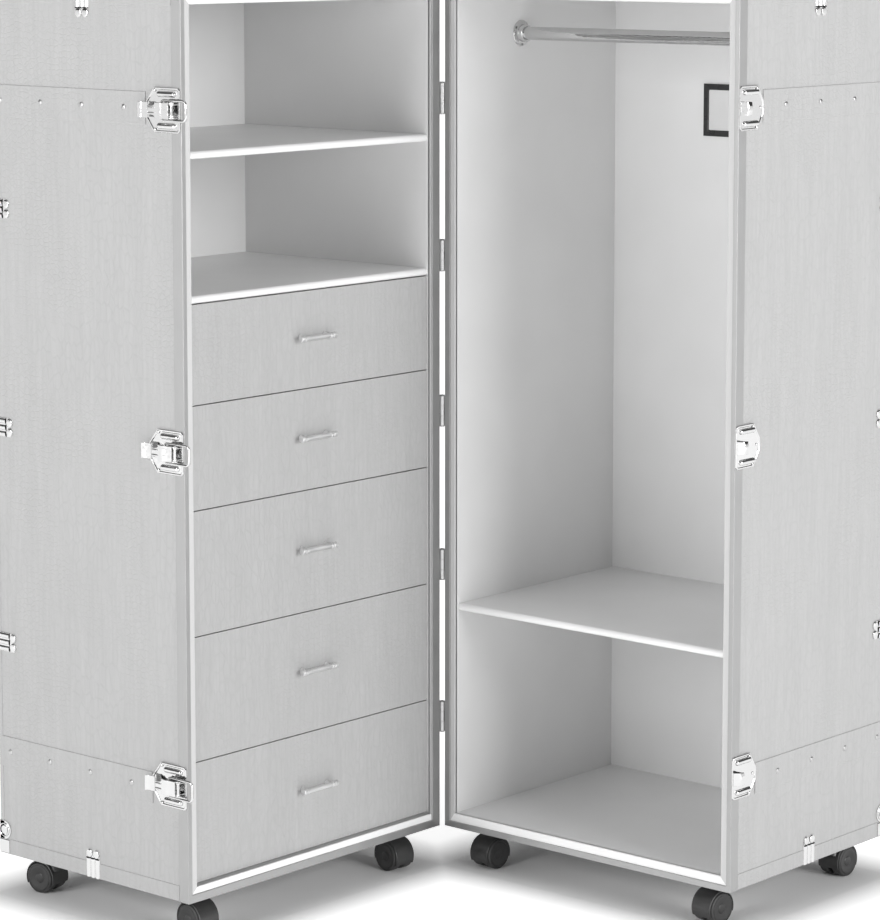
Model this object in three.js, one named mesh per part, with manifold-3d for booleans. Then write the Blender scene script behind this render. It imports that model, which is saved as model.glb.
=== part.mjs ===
// Wardrobe trunk: two box halves on a common hinge line, standing open at a right angle on eight casters.
// Millimetres, +Z up. The right half opens towards -Y and the left half towards +X.
import * as THREE from "three";
import { mergeVertices } from "three/addons/utils/BufferGeometryUtils.js";
import Module from "manifold-3d";

const wasm = await Module();
wasm.setup();

// Shell of each half
const halfWidth = 585;
const halfDepth = 435;
const shellHeight = 1400;
const casterHeight = 70;
const wall = 9.5;
const backWall = 6.5;
const fit = 0.3;
const overrun = 5;

// Lining boards
const sideBoard = 8.7;
const floorBoard = 12.2;
const backBoard = 3.2;

// Hinge line: the pin stands proud of the hinge-side walls and midway between the two rims
const pinProud = 7;
const rimGap = 0.5;

// Metal edging of the rims
const edgingSheet = 1.5;
const edgingFace = 12;
const edgingOuterLeg = 21;
const edgingInnerLeg = 8;

// Binding strips, straps, edge clamps and edge clasps on the outside
const bindingWidth = 24;
const bindingProud = 1;
const strapWidth = 50;
const strapProud = 1.2;
const strapInset = 97;
const strapHeightShares = [0.121, 0.878];
const clampWidth = 31;
const clampLeg = 45;
const clampProud = 3;
const clampHeightShares = [0.25, 0.5, 0.75];
const claspWidth = 30;
const claspLeg = 22;
const claspProud = 2.4;
const claspGrip = 3;
const claspInset = 38;

// Shelves, with heights as shares of the height inside
const shelfBoard = 12;
const shelfSetback = 10;
const upperShelfShare = 0.837;
const lowerShelfShare = 0.675;
const rightShelfShare = 0.2625;

// Drawers, whose dividing lines are shares of the height inside
const drawerLineShares = [0.0015, 0.1423, 0.2861, 0.4292, 0.5487];
const drawerSetback = 10;
const drawerFront = 14;
const drawerSide = 9;
const drawerBottom = 5;
const drawerGap = 1.4;
const drawerSideClearance = 1.2;
const drawerBoxDrop = 22;
const drawerBackRoom = 14;
const runnerWidth = 11;
const runnerHeight = 9;

// Bar pulls
const pullLength = 88;
const pullPitch = 62;
const pullRadius = 4.4;
const pullEndRadius = 5.6;
const pullEndLength = 8;
const pullReach = 13;
const pullPostRadius = 3.6;
const pullFootRadius = 6.4;
const pullFootHeight = 2.4;

// Hanging rail
const railRadius = 11;
const railSheet = 1.4;
const railSetback = 170;
const railHeightShare = 0.957;
const socketRadius = 21.5;
const socketFlange = 3;
const socketCollar = 3;
const socketLength = 13;

// Hinges
const hingeHeightShares = [0.132, 0.316, 0.5, 0.684, 0.868];
const hingeLength = 50;
const hingeLeafWidth = 26;
const hingeLeaf = 1.8;
const barrelRadius = 4.7;
const pinRadius = 2.4;
const pinHead = 1.5;
const knuckleGap = 0.5;
const leafCorner = 5;

// Draw-bolt latches and their catches
const latchHeightShares = [0.1286, 0.5, 0.8714];
const plateSheet = 1.5;
const latchSetback = 1.5;
const latchLength = 75;
const latchHalfHeight = 34;
const latchNoseHalf = 10;
const latchShoulderShare = 0.74;
const beadWidth = 10;
const beadRise = 3;
const beadSetback = 9;
const beadLength = 40;
const beadOffset = 24;
const earSheet = 1.8;
const earOffset = 8;
const earRadius = 3.2;
const pivotRise = 6.2;
const pivotRadius = 2.2;
const pivotSetback = 13;
const cheekSheet = 1.6;
const cheekGap = 0.6;
const cheekRadius = 5.2;
const cheekSkirt = 2.6;
const leverWeb = 1.6;
const leverRise = 3.8;
const leverStart = 2.4;
const leverLength = 68;
const leverHump = 1.8;
const leverHumpLength = 16;
const tongueStart = 48;
const tongueDrop = 4.2;
const tongueCurl = 5;
const bailPivotReach = 22;
const saddleLength = 6;
const saddleWidth = 8;
const wireRadius = 1.9;
const bailGap = 1.3;
const bailReach = 18;
const bailCorner = 4;
const catchSetback = 1;
const catchLength = 62;
const hookWidth = 21;
const hookPost = 4.2;
const hookLip = 2.4;
const hookGap = 0.6;
const hookOverhang = 3.2;

// Twin-wheel casters
const casterInset = 62;
const casterPlate = 54;
const casterPlateSheet = 2.5;
const stemRadius = 5;
const stemLength = 17;
const wheelRadius = 25;
const wheelWidth = 18;
const wheelRound = 3;
const wheelDish = 2;
const axleRadius = 3;
const casterWeb = 6;
const wheelSideGap = 0.7;
const casterTrail = 18;
const hoodClearance = 1.2;
const hoodSheet = 2.4;
const hoodInset = 2;
const hoodFrontShare = -0.1;
const hoodRearShare = 1.14;
const neckRadius = 12.5;
const neckGap = 0.6;
const neckDrop = 32;
const bossRadius = 8;

// Sides of the round forms
const wheelSides = 12;
const hoodRoomSides = 16;
const neckSides = 10;
const stemSides = 10;
const axleSides = 8;
const tubeSides = 16;
const pullSides = 8;
const postSides = 6;
const barrelSides = 8;
const pivotSides = 8;
const wireSides = 6;
const gentleCurve = 3;
const fullCurve = 5;

// Places that follow from the sizes above
const edgingProud = fit + edgingSheet;
const liningFace = wall + fit + sideBoard;
const floorTop = wall + fit + floorBoard;
const insideHeight = shellHeight - 2 * floorTop;
const insideBack = halfDepth - backWall - fit - backBoard;
const liningFront = edgingInnerLeg + fit;
const onEdging = edgingProud + fit;
const plateTop = onEdging + plateSheet;
const pivotHeight = plateTop + pivotRise;
const cheekFace = earOffset + earSheet + cheekGap;
const bailSetback = pivotSetback + bailPivotReach;
const bailHalf = cheekFace + cheekSheet + bailGap + wireRadius;
const bailLength = bailSetback + bailReach;
const quarterTurn = Math.PI / 2;
const heightInside = (share) => floorTop + share * insideHeight;

const finishes = {
  covering: { color: 0xc9c9c7, roughness: 0.55, metalness: 0 },
  edging: { color: 0xa6a8aa, roughness: 0.35, metalness: 1 },
  lining: { color: 0xe9e9e7, roughness: 0.5, metalness: 0 },
  chrome: { color: 0xd8dadc, roughness: 0.12, metalness: 1 },
  nickel: { color: 0xb9bbbd, roughness: 0.25, metalness: 1 },
  caster: { color: 0x2b2b2d, roughness: 0.5, metalness: 0 },
  wheel: { color: 0x3a3a3c, roughness: 0.6, metalness: 0 },
};

// Solids and meshes
function solidOf(geometry) {
  const bare = geometry.clone();
  bare.deleteAttribute("normal");
  bare.deleteAttribute("uv");
  const merged = mergeVertices(bare);
  const vertProperties = new Float32Array(merged.attributes.position.array);
  const triVerts = new Uint32Array(merged.index.array);
  return new wasm.Manifold(new wasm.Mesh({ numProp: 3, vertProperties, triVerts }));
}

function geometryOf(solid) {
  const mesh = solid.getMesh();
  const geometry = new THREE.BufferGeometry();
  geometry.setAttribute("position", new THREE.BufferAttribute(new Float32Array(mesh.vertProperties), 3));
  geometry.setIndex(new THREE.BufferAttribute(new Uint32Array(mesh.triVerts), 1));
  geometry.computeVertexNormals();
  return geometry;
}

function joined(pieces) {
  return pieces.map(solidOf).reduce((sum, piece) => sum.add(piece));
}

function carved(pieces, cuts) {
  const body = joined(pieces);
  return geometryOf(cuts.length ? body.subtract(joined(cuts)) : body);
}

function box(x0, x1, y0, y1, z0, z1) {
  const geometry = new THREE.BoxGeometry(x1 - x0, y1 - y0, z1 - z0);
  return geometry.translate((x0 + x1) / 2, (y0 + y1) / 2, (z0 + z1) / 2);
}

function drawn(points) {
  const shape = new THREE.Shape();
  points.forEach(([a, b], i) => (i ? shape.lineTo(a, b) : shape.moveTo(a, b)));
  shape.closePath();
  return shape;
}

function prism(shape, depth, curveSegments = 6) {
  return new THREE.ExtrudeGeometry(shape, { depth, bevelEnabled: false, curveSegments });
}

// A profile in the plane of outward distance (X) and setback (Y), drawn out along Z about the middle
function upright(shape, height, curveSegments) {
  return prism(shape, height, curveSegments).translate(0, 0, -height / 2);
}

// An outline in the plane of setback (Y) and height (Z), drawn out along X from a base
function onWall(shape, base, thickness, curveSegments) {
  const geometry = prism(shape, thickness, curveSegments);
  geometry.applyMatrix4(new THREE.Matrix4().makeBasis(
    new THREE.Vector3(0, 1, 0),
    new THREE.Vector3(0, 0, 1),
    new THREE.Vector3(1, 0, 0),
  ));
  return geometry.translate(base, 0, 0);
}

function rod(radius, length, sides) {
  return new THREE.CylinderGeometry(radius, radius, length, sides);
}

function revolved(points, sides) {
  return new THREE.LatheGeometry(points.map(([r, h]) => new THREE.Vector2(r, h)), sides);
}

function roundedRectangle(x0, x1, y0, y1, radius) {
  const shape = new THREE.Shape();
  shape.moveTo(x0 + radius, y0);
  shape.lineTo(x1 - radius, y0);
  shape.absarc(x1 - radius, y0 + radius, radius, -quarterTurn, 0);
  shape.lineTo(x1, y1 - radius);
  shape.absarc(x1 - radius, y1 - radius, radius, 0, quarterTurn);
  shape.lineTo(x0 + radius, y1);
  shape.absarc(x0 + radius, y1 - radius, radius, quarterTurn, 2 * quarterTurn);
  shape.lineTo(x0, y0 + radius);
  shape.absarc(x0 + radius, y0 + radius, radius, 2 * quarterTurn, 3 * quarterTurn);
  return shape;
}

// The left half is the right half's mirror image in Y
function mirrored(geometry) {
  const flipped = mergeVertices(geometry.clone());
  flipped.scale(1, -1, 1);
  const index = flipped.index.array;
  for (let i = 0; i < index.length; i += 3) {
    [index[i], index[i + 1]] = [index[i + 1], index[i]];
  }
  flipped.computeVertexNormals();
  return flipped;
}

function addPiece(parent, name, geometry, finish, side) {
  const material = new THREE.MeshStandardMaterial(finishes[finish]);
  const mesh = new THREE.Mesh(side < 0 ? mirrored(geometry) : geometry, material);
  mesh.name = name;
  parent.add(mesh);
  return mesh;
}

function pivotGroup(parent, x, y, z) {
  const group = new THREE.Group();
  group.position.set(x, y, z);
  parent.add(group);
  return group;
}

// Casing: plywood box, open at the rim, with raised straps, bindings, clamps and clasps
function bindings() {
  const start = edgingOuterLeg + 2 * fit;
  const [low, high] = [-bindingProud, shellHeight + bindingProud];
  const [near, far, back] = [-bindingProud, halfWidth + bindingProud, halfDepth + bindingProud];
  return [
    box(near, far, start, back, low, bindingWidth),
    box(near, far, start, back, shellHeight - bindingWidth, high),
    box(near, bindingWidth, halfDepth - bindingWidth, back, low, high),
    box(halfWidth - bindingWidth, far, halfDepth - bindingWidth, back, low, high),
  ];
}

function straps() {
  return strapHeightShares.map((share) => {
    const middle = share * shellHeight;
    return box(
      -strapProud, halfWidth + strapProud,
      strapInset, halfDepth + strapProud,
      middle - strapWidth / 2, middle + strapWidth / 2,
    );
  });
}

// Block on an edge: proud of each wall named in outward, with a leg back along it,
// and centred on the point along the axis whose outward entry is zero
function edgeBlock(point, outward, leg, proud, width) {
  const ends = point.map((value, i) => {
    const reach = outward[i] ? [outward[i] * proud, -outward[i] * leg] : [-width / 2, width / 2];
    return reach.map((step) => value + step).sort((a, b) => a - b);
  });
  return box(...ends.flat());
}

function clamps() {
  const middleDepth = (edgingOuterLeg + halfDepth) / 2;
  const sides = [[0, -1], [halfWidth, 1]];
  const ends = [[0, -1], [shellHeight, 1]];
  const seats = ends.flatMap(([z, up]) => [
    ...sides.map(([x, out]) => [[x, middleDepth, z], [out, 0, up]]),
    [[halfWidth / 2, halfDepth, z], [0, 1, up]],
  ]);
  clampHeightShares.forEach((share) => {
    sides.forEach(([x, out]) => seats.push([[x, halfDepth, share * shellHeight], [out, 1, 0]]));
  });
  return seats.map(([point, outward]) => edgeBlock(point, outward, clampLeg, clampProud, clampWidth));
}

// Clasps folded round the upright back edges, each with a round-ended leg on both of its walls
function claspLeaf(edge, inward) {
  const half = claspWidth / 2;
  const middle = edge + inward * (claspLeg - half);
  const leaf = new THREE.Shape();
  leaf.moveTo(edge - inward * claspProud, -half);
  leaf.lineTo(middle, -half);
  leaf.absarc(middle, 0, half, -quarterTurn, quarterTurn, inward < 0);
  leaf.lineTo(edge - inward * claspProud, half);
  return leaf;
}

function clasps() {
  const thick = claspGrip + claspProud;
  const heights = [claspInset, shellHeight - claspInset];
  return [[0, -1], [halfWidth, 1]].flatMap(([x, out]) => heights.flatMap((z) => {
    const base = out < 0 ? -claspProud : halfWidth - claspGrip;
    const side = onWall(claspLeaf(halfDepth, -1), base, thick, gentleCurve);
    const back = prism(claspLeaf(x, -out), thick, gentleCurve).rotateX(quarterTurn);
    return [side.translate(0, 0, z), back.translate(0, halfDepth + claspProud, z)];
  }));
}

const casterPlaces = [
  [casterInset, casterInset],
  [halfWidth - casterInset, casterInset],
  [casterInset, halfDepth - casterInset],
  [halfWidth - casterInset, halfDepth - casterInset],
];

function casterSeats() {
  return casterPlaces.flatMap(([x, y]) => {
    const half = casterPlate / 2;
    const plateLow = -bindingProud - casterPlateSheet;
    const stem = rod(stemRadius, stemLength + wall / 2, stemSides).rotateX(quarterTurn);
    stem.translate(x, y, (wall / 2 - stemLength) / 2);
    return [box(x - half, x + half, y - half, y + half, plateLow, wall / 2), stem];
  });
}

function casing() {
  const front = edgingSheet + fit;
  const shell = box(0, halfWidth, front, halfDepth, 0, shellHeight);
  const room = box(wall, halfWidth - wall, -overrun, halfDepth - backWall, wall, shellHeight - wall);
  return carved([shell, ...bindings(), ...straps(), ...clamps(), ...clasps(), ...casterSeats()], [room]);
}

// Edging: a channel folded round the rim, with a wide outer leg and a short inner one
function edging() {
  const frame = (inset, y0, y1) => box(inset, halfWidth - inset, y0, y1, inset, shellHeight - inset);
  const outer = frame(-edgingProud, 0, edgingOuterLeg);
  const legRoom = frame(-fit, edgingSheet, edgingOuterLeg + overrun);
  const innerOuter = frame(edgingFace - edgingSheet, 0, edgingInnerLeg);
  const opening = frame(edgingFace, -overrun, edgingOuterLeg + overrun);
  const channel = solidOf(outer).subtract(solidOf(legRoom)).add(solidOf(innerOuter));
  return geometryOf(channel.subtract(solidOf(opening)));
}

// Lining: white boards on every inner wall, with a pair of runners under each drawer on the left
function lining(withRunners) {
  const edge = wall + fit;
  const back = halfDepth - backWall - fit;
  const boards = box(edge, halfWidth - edge, liningFront, back, edge, shellHeight - edge);
  const [left, right] = [liningFace, halfWidth - liningFace];
  const room = box(left, right, -overrun, insideBack, floorTop, shellHeight - floorTop);
  const hollow = solidOf(boards).subtract(solidOf(room));
  return geometryOf(withRunners ? hollow.add(joined(runners())) : hollow);
}

function runners() {
  return drawerLineShares.flatMap((share) => {
    const top = runnerTop(share);
    const [y0, y1] = [drawerSetback + drawerFront + 2 * fit, insideBack + backBoard / 2];
    const far = halfWidth - liningFace;
    const grip = sideBoard / 2;
    return [
      box(liningFace - grip, liningFace + runnerWidth, y0, y1, top - runnerHeight, top),
      box(far - runnerWidth, far + grip, y0, y1, top - runnerHeight, top),
    ];
  });
}

function runnerTop(share) {
  return heightInside(share) + drawerGap + runnerHeight;
}

// Shelf with a half-round front edge
function shelf() {
  const half = shelfBoard / 2;
  const [front, back] = [shelfSetback, insideBack - fit];
  const shape = new THREE.Shape();
  shape.moveTo(back, -half);
  shape.lineTo(back, half);
  shape.lineTo(front + half, half);
  shape.absarc(front + half, 0, half, quarterTurn, 3 * quarterTurn);
  const length = halfWidth - 2 * (liningFace + fit);
  return onWall(shape, liningFace + fit, length, fullCurve).translate(0, 0, -half);
}

// Drawer: front panel with an open box behind it, which slides on the runners
function drawer(low, high) {
  const frontEdge = liningFace + drawerGap;
  const side = liningFace + drawerSideClearance;
  const [x0, x1] = [side, halfWidth - side];
  const [y0, y1] = [drawerSetback, drawerSetback + drawerFront];
  const boxBack = insideBack - drawerBackRoom;
  const bottom = runnerHeight + fit + drawerGap;
  const boxTop = high - low - drawerBoxDrop;
  const panel = box(frontEdge, halfWidth - frontEdge, y0, y1, drawerGap, high - low - drawerGap);
  const body = box(x0, x1, y1 - drawerFront / 2, boxBack, bottom, boxTop);
  const room = box(
    x0 + drawerSide, x1 - drawerSide,
    y1, boxBack - drawerSide,
    bottom + drawerBottom, boxTop + overrun,
  );
  return carved([panel, body], [room]);
}

// Bar pull: a turned bar with thicker ends on two footed posts, standing off the drawer front
function pull() {
  const half = pullLength / 2;
  const neck = half - pullEndLength;
  const bar = revolved([
    [0, -half],
    [pullEndRadius, -half],
    [pullEndRadius, -neck],
    [pullRadius, -neck + pullEndRadius - pullRadius],
    [pullRadius, neck - pullEndRadius + pullRadius],
    [pullEndRadius, neck],
    [pullEndRadius, half],
    [0, half],
  ], pullSides).rotateZ(-quarterTurn);
  bar.translate(0, -pullReach, 0);
  const posts = [-pullPitch / 2, pullPitch / 2].map((x) => {
    const post = revolved([
      [0, 0],
      [pullFootRadius, 0],
      [pullPostRadius, pullFootHeight],
      [pullPostRadius, pullReach],
      [0, pullReach],
    ], postSides);
    return post.rotateX(2 * quarterTurn).translate(x, -fit, 0);
  });
  return carved([bar, ...posts], []);
}

// Hanging rail and its two flanged sockets
const railLength = halfWidth - 2 * (liningFace + fit + socketFlange + fit);

function rail() {
  const bore = railRadius - railSheet;
  const half = railLength / 2;
  const section = [[railRadius, -half], [railRadius, half], [bore, half], [bore, -half]];
  return revolved([...section, section[0]], tubeSides).rotateZ(quarterTurn);
}

function railSocket() {
  const collar = railRadius + fit + socketCollar;
  return revolved([
    [0, 0],
    [socketRadius, 0],
    [socketRadius, socketFlange / 2],
    [collar, socketFlange + fit],
    [collar, socketLength],
    [railRadius + fit, socketLength],
    [railRadius + fit, socketFlange],
    [0, socketFlange],
  ], tubeSides).rotateZ(-quarterTurn);
}

// Hinge leaves about the pin: the outer knuckles on one, the middle knuckle and the pin on the other
const knuckle = hingeLength / 3;

function leafPlate() {
  const half = hingeLength / 2;
  const leaf = onWall(roundedRectangle(0, hingeLeafWidth, -half, half, leafCorner), 0, hingeLeaf, 1);
  return leaf.translate(pinProud - onEdging - hingeLeaf, 0, 0);
}

function upRod(radius, z0, z1, sides) {
  return rod(radius, z1 - z0, sides).rotateX(quarterTurn).translate(0, 0, (z0 + z1) / 2);
}

function outerLeaf() {
  const half = hingeLength / 2;
  const barrels = [[-half, -knuckle / 2], [knuckle / 2, half]].map(([low, high]) => {
    return upRod(barrelRadius, low, high, barrelSides);
  });
  const reach = barrelRadius + knuckleGap;
  const middle = knuckle / 2 + knuckleGap;
  return carved([leafPlate(), ...barrels], [
    box(-reach, reach, -reach, reach, -middle, middle),
    upRod(pinRadius + fit, -half - overrun, half + overrun, barrelSides),
  ]);
}

function middleLeaf() {
  const half = hingeLength / 2;
  const reach = barrelRadius + knuckleGap;
  const cutTop = box(-reach, reach, -reach, reach, knuckle / 2, half + overrun);
  const cutLow = box(-reach, reach, -reach, reach, -half - overrun, -knuckle / 2);
  const plate = solidOf(leafPlate()).subtract(joined([cutTop, cutLow]));
  const barrel = solidOf(upRod(barrelRadius, -knuckle / 2, knuckle / 2, barrelSides));
  const pin = solidOf(upRod(pinRadius, -half - fit, half + fit, barrelSides));
  const heads = joined([
    upRod(barrelRadius - fit, half + fit, half + fit + pinHead, barrelSides),
    upRod(barrelRadius - fit, -half - fit - pinHead, -half - fit, barrelSides),
  ]);
  return geometryOf(plate.add(barrel).add(pin).add(heads));
}

// Six-sided latch or catch plate, blunt at the rim and pointed away from it, joggled over the edging
function hexPlate(start, length) {
  const shoulder = start + latchShoulderShare * length;
  const clip = latchHalfHeight - beadWidth / 2;
  const shape = drawn([
    [start, -clip],
    [start + beadWidth / 2, -latchHalfHeight],
    [shoulder, -latchHalfHeight],
    [start + length, -latchNoseHalf],
    [start + length, latchNoseHalf],
    [shoulder, latchHalfHeight],
    [start + beadWidth / 2, latchHalfHeight],
    [start, clip],
  ]);
  const slab = onWall(shape, fit, plateTop - fit);
  const step = box(0, onEdging, -overrun, edgingOuterLeg + fit, -shellHeight, shellHeight);
  return solidOf(slab).subtract(solidOf(step));
}

function bead(start, height) {
  const [half, top, sunk] = [beadWidth / 2, beadWidth / 4, -plateSheet / 2];
  const section = drawn([
    [sunk, -half],
    [0, -half],
    [beadRise, -top],
    [beadRise, top],
    [0, half],
    [sunk, half],
  ]);
  return prism(section, beadLength).rotateX(quarterTurn).translate(plateTop, start + beadLength, height);
}

function beadedPlate(start, length) {
  const beads = [-beadOffset, beadOffset].map((height) => bead(start + beadSetback, height));
  return hexPlate(start, length).add(joined(beads));
}

// Latch plate: two ears with the lever's pin, and a saddle under the bail's bar
function latchPlate() {
  const sunk = plateTop - plateSheet / 2;
  const ear = new THREE.Shape();
  ear.moveTo(sunk, pivotSetback - earRadius);
  ear.lineTo(pivotHeight, pivotSetback - earRadius);
  ear.absarc(pivotHeight, pivotSetback, earRadius, -quarterTurn, quarterTurn);
  ear.lineTo(sunk, pivotSetback + earRadius);
  const ears = [-1, 1].map((sign) => {
    return upright(ear, earSheet, gentleCurve).translate(0, 0, sign * (earOffset + earSheet / 2));
  });
  const pinHalf = cheekFace + cheekSheet + cheekGap;
  const pin = upRod(pivotRadius, -pinHalf, pinHalf, pivotSides).translate(pivotHeight, pivotSetback, 0);
  const [near, far] = [bailSetback - saddleLength / 2, bailSetback + saddleLength / 2];
  const saddleTop = pivotHeight - wireRadius - fit;
  const saddle = box(sunk, saddleTop, near, far, -saddleWidth / 2, saddleWidth / 2);
  return geometryOf(beadedPlate(latchSetback, latchLength).add(joined([...ears, pin, saddle])));
}

// Lever, about its pin: two cheeks, notched over the bail's bar, and a web that runs on into a tongue
function leverCheek() {
  const reach = Math.hypot(leverRise, leverStart);
  const skirtEnd = bailPivotReach + cheekRadius;
  const cheek = new THREE.Shape();
  cheek.moveTo(leverRise + leverWeb / 2, leverStart);
  cheek.lineTo(leverRise, leverStart);
  cheek.absarc(0, 0, reach, Math.atan2(leverStart, leverRise), -2 * quarterTurn, true);
  cheek.lineTo(-cheekRadius, cheekRadius);
  cheek.lineTo(-cheekSkirt, bailPivotReach - 2 * cheekRadius);
  cheek.lineTo(-cheekSkirt, skirtEnd);
  cheek.lineTo(leverRise + leverWeb / 2, skirtEnd + cheekRadius);
  return cheek;
}

function leverProfile(rise) {
  const humpStart = bailPivotReach - leverHumpLength / 2;
  const humpEnd = bailPivotReach + leverHumpLength / 2;
  return [
    [rise, leverStart],
    [rise, humpStart],
    [rise + leverHump, humpStart + leverHumpLength / 4],
    [rise + leverHump, humpEnd - leverHumpLength / 4],
    [rise, humpEnd],
    [rise, tongueStart],
    [rise - tongueDrop, tongueStart + tongueCurl],
    [rise - tongueDrop, leverLength - tongueCurl],
    [rise, leverLength],
  ];
}

function lever() {
  const half = cheekFace + cheekSheet;
  const web = drawn([...leverProfile(leverRise + leverWeb), ...leverProfile(leverRise).reverse()]);
  const cheeks = [-1, 1].map((sign) => {
    const cheek = upright(leverCheek(), cheekSheet, gentleCurve);
    return cheek.translate(0, 0, sign * (cheekFace + cheekSheet / 2));
  });
  const notch = wireRadius + 3 * fit;
  return carved([upright(web, 2 * half), ...cheeks], [
    upRod(pivotRadius + fit, -half - overrun, half + overrun, pivotSides),
    upRod(notch, -half - overrun, half + overrun, pivotSides).translate(0, bailPivotReach, 0),
    box(
      -overrun, 0,
      bailPivotReach - notch, bailPivotReach + notch,
      -half - overrun, half + overrun,
    ),
  ]);
}

// Bail, about the bar that the lever hooks over: a closed wire loop reaching past the rim
function bailPath() {
  const corners = roundedRectangle(-bailLength, 0, -bailHalf, bailHalf, bailCorner).getPoints(2);
  return corners.filter((point, i) => point.distanceTo(corners[(i + 1) % corners.length]) > fit);
}

function bail() {
  const path = bailPath();
  const positions = [];
  const index = [];
  path.forEach((point, i) => {
    const before = path[(i + path.length - 1) % path.length];
    const along = path[(i + 1) % path.length].clone().sub(before).normalize();
    for (let k = 0; k < wireSides; k++) {
      const angle = (k / wireSides) * 4 * quarterTurn;
      const reach = wireRadius * Math.cos(angle);
      positions.push(wireRadius * Math.sin(angle), point.x + reach * along.y, point.y - reach * along.x);
      const [a, b] = [i * wireSides + k, i * wireSides + ((k + 1) % wireSides)];
      const [c, d] = [a, b].map((v) => (v + wireSides) % (path.length * wireSides));
      index.push(a, c, b, b, c, d);
    }
  });
  const geometry = new THREE.BufferGeometry();
  geometry.setAttribute("position", new THREE.Float32BufferAttribute(positions, 3));
  geometry.setIndex(index);
  geometry.computeVertexNormals();
  return geometry;
}

// Catch plate, with a ramped hook whose lip points away from the rim
function catchPlate() {
  const hookBack = bailReach - 2 * rimGap - wireRadius - hookGap;
  const lipEnd = hookBack + hookOverhang + wireRadius;
  const lipLow = pivotHeight + wireRadius + hookGap;
  const sunk = plateTop - plateSheet / 2;
  const profile = drawn([
    [sunk, catchSetback],
    [plateTop, catchSetback],
    [lipLow, hookBack - hookPost - hookLip],
    [lipLow + hookLip, hookBack - hookPost],
    [lipLow + hookLip, lipEnd - hookLip / 2],
    [lipLow + hookLip / 2, lipEnd],
    [lipLow, lipEnd],
    [lipLow, hookBack],
    [sunk, hookBack],
  ]);
  return geometryOf(beadedPlate(catchSetback, catchLength).add(solidOf(upright(profile, hookWidth))));
}

// Caster about its swivel axis at the underside of the shell: hood with a neck and a web between the wheels
const axleHeight = wheelRadius - casterHeight;

// An outline in the plane of travel (X) and height (Y) about the axle, drawn out across the caster
function acrossCaster(shape, width) {
  const geometry = prism(shape, width, fullCurve).translate(0, 0, -width / 2).rotateX(quarterTurn);
  return geometry.translate(-casterTrail, 0, axleHeight);
}

function hood() {
  const room = wheelRadius + hoodClearance;
  const outer = room + hoodSheet;
  const width = casterWeb + 2 * (wheelSideGap + wheelWidth - hoodInset);
  const [front, rear] = [hoodFrontShare, hoodRearShare].map((share) => share * 2 * quarterTurn);
  const cap = new THREE.Shape();
  cap.absarc(0, 0, outer, front, rear, false);
  cap.absarc(0, 0, room - hoodSheet, rear, front, true);
  const web = new THREE.Shape();
  web.absarc(0, 0, outer, 0, 2 * quarterTurn, false);
  web.absarc(0, 0, bossRadius, 2 * quarterTurn, 4 * quarterTurn, false);
  const neck = upRod(neckRadius, -neckDrop, -bindingProud - casterPlateSheet - neckGap, neckSides);
  const wheelRooms = [-1, 1].map((sign) => {
    const middle = sign * (casterWeb + width) / 2;
    return rod(room, width, hoodRoomSides).translate(-casterTrail, middle, axleHeight);
  });
  const axleHole = rod(axleRadius + fit, 2 * width, axleSides).translate(-casterTrail, 0, axleHeight);
  const bore = upRod(stemRadius + fit, -stemLength - fit, 0, stemSides);
  return carved(
    [acrossCaster(cap, width), acrossCaster(web, casterWeb), neck],
    [...wheelRooms, axleHole, bore],
  );
}

function wheelPair() {
  const inner = casterWeb / 2 + wheelSideGap;
  const outer = inner + wheelWidth;
  const tread = wheelRadius - wheelRound;
  const half = [
    [axleRadius, inner],
    [tread, inner],
    [wheelRadius, inner + wheelRound],
    [wheelRadius, outer - wheelRound],
    [tread - wheelDish, outer],
    [0, outer - wheelDish],
  ];
  return revolved([...half.map(([r, y]) => [r, -y]).reverse(), ...half], wheelSides);
}

// Assembly
const trunk = new THREE.Group();

function addShell(half, prefix, side) {
  const shell = pivotGroup(half, pinProud, side * rimGap, 0);
  addPiece(shell, `${prefix}_casing`, casing(), "covering", side);
  addPiece(shell, `${prefix}_edging`, edging(), "edging", side);
  addPiece(shell, `${prefix}_lining`, lining(side < 0), "lining", side);
  return shell;
}

function addCasters(shell, prefix, side, headings) {
  casterPlaces.forEach(([x, y], i) => {
    const swivel = pivotGroup(shell, x, side * y, 0);
    swivel.rotation.z = THREE.MathUtils.degToRad(headings[i]);
    addPiece(swivel, `${prefix}_caster_hood_${i + 1}`, hood(), "caster", 1);
    const axle = pivotGroup(swivel, -casterTrail, 0, axleHeight);
    addPiece(axle, `${prefix}_caster_wheels_${i + 1}`, wheelPair(), "wheel", 1);
  });
}

function addShelf(shell, name, share, side) {
  addPiece(shell, name, shelf(), "lining", side).position.z = heightInside(share);
}

function addDrawers(shell) {
  const lines = [...drawerLineShares, lowerShelfShare].map(heightInside);
  lines[lines.length - 1] -= shelfBoard;
  for (let i = 0; i + 1 < lines.length; i++) {
    const slide = pivotGroup(shell, 0, 0, lines[i]);
    addPiece(slide, `drawer_${i + 1}`, drawer(lines[i], lines[i + 1]), "covering", -1);
    const handle = addPiece(slide, `drawer_pull_${i + 1}`, pull(), "nickel", -1);
    handle.position.set(halfWidth / 2, -drawerSetback, (lines[i + 1] - lines[i]) / 2);
  }
}

function addRail(shell) {
  const height = heightInside(railHeightShare);
  const [near, far] = [liningFace + fit, halfWidth - liningFace - fit];
  const tube = addPiece(shell, "hanging_rail", rail(), "chrome", 1);
  tube.position.set(halfWidth / 2, railSetback, height);
  const nearSocket = addPiece(shell, "rail_socket_hinge_side", railSocket(), "chrome", 1);
  nearSocket.position.set(near, railSetback, height);
  const turned = railSocket().rotateZ(2 * quarterTurn);
  addPiece(shell, "rail_socket_latch_side", turned, "chrome", 1).position.set(far, railSetback, height);
}

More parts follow.
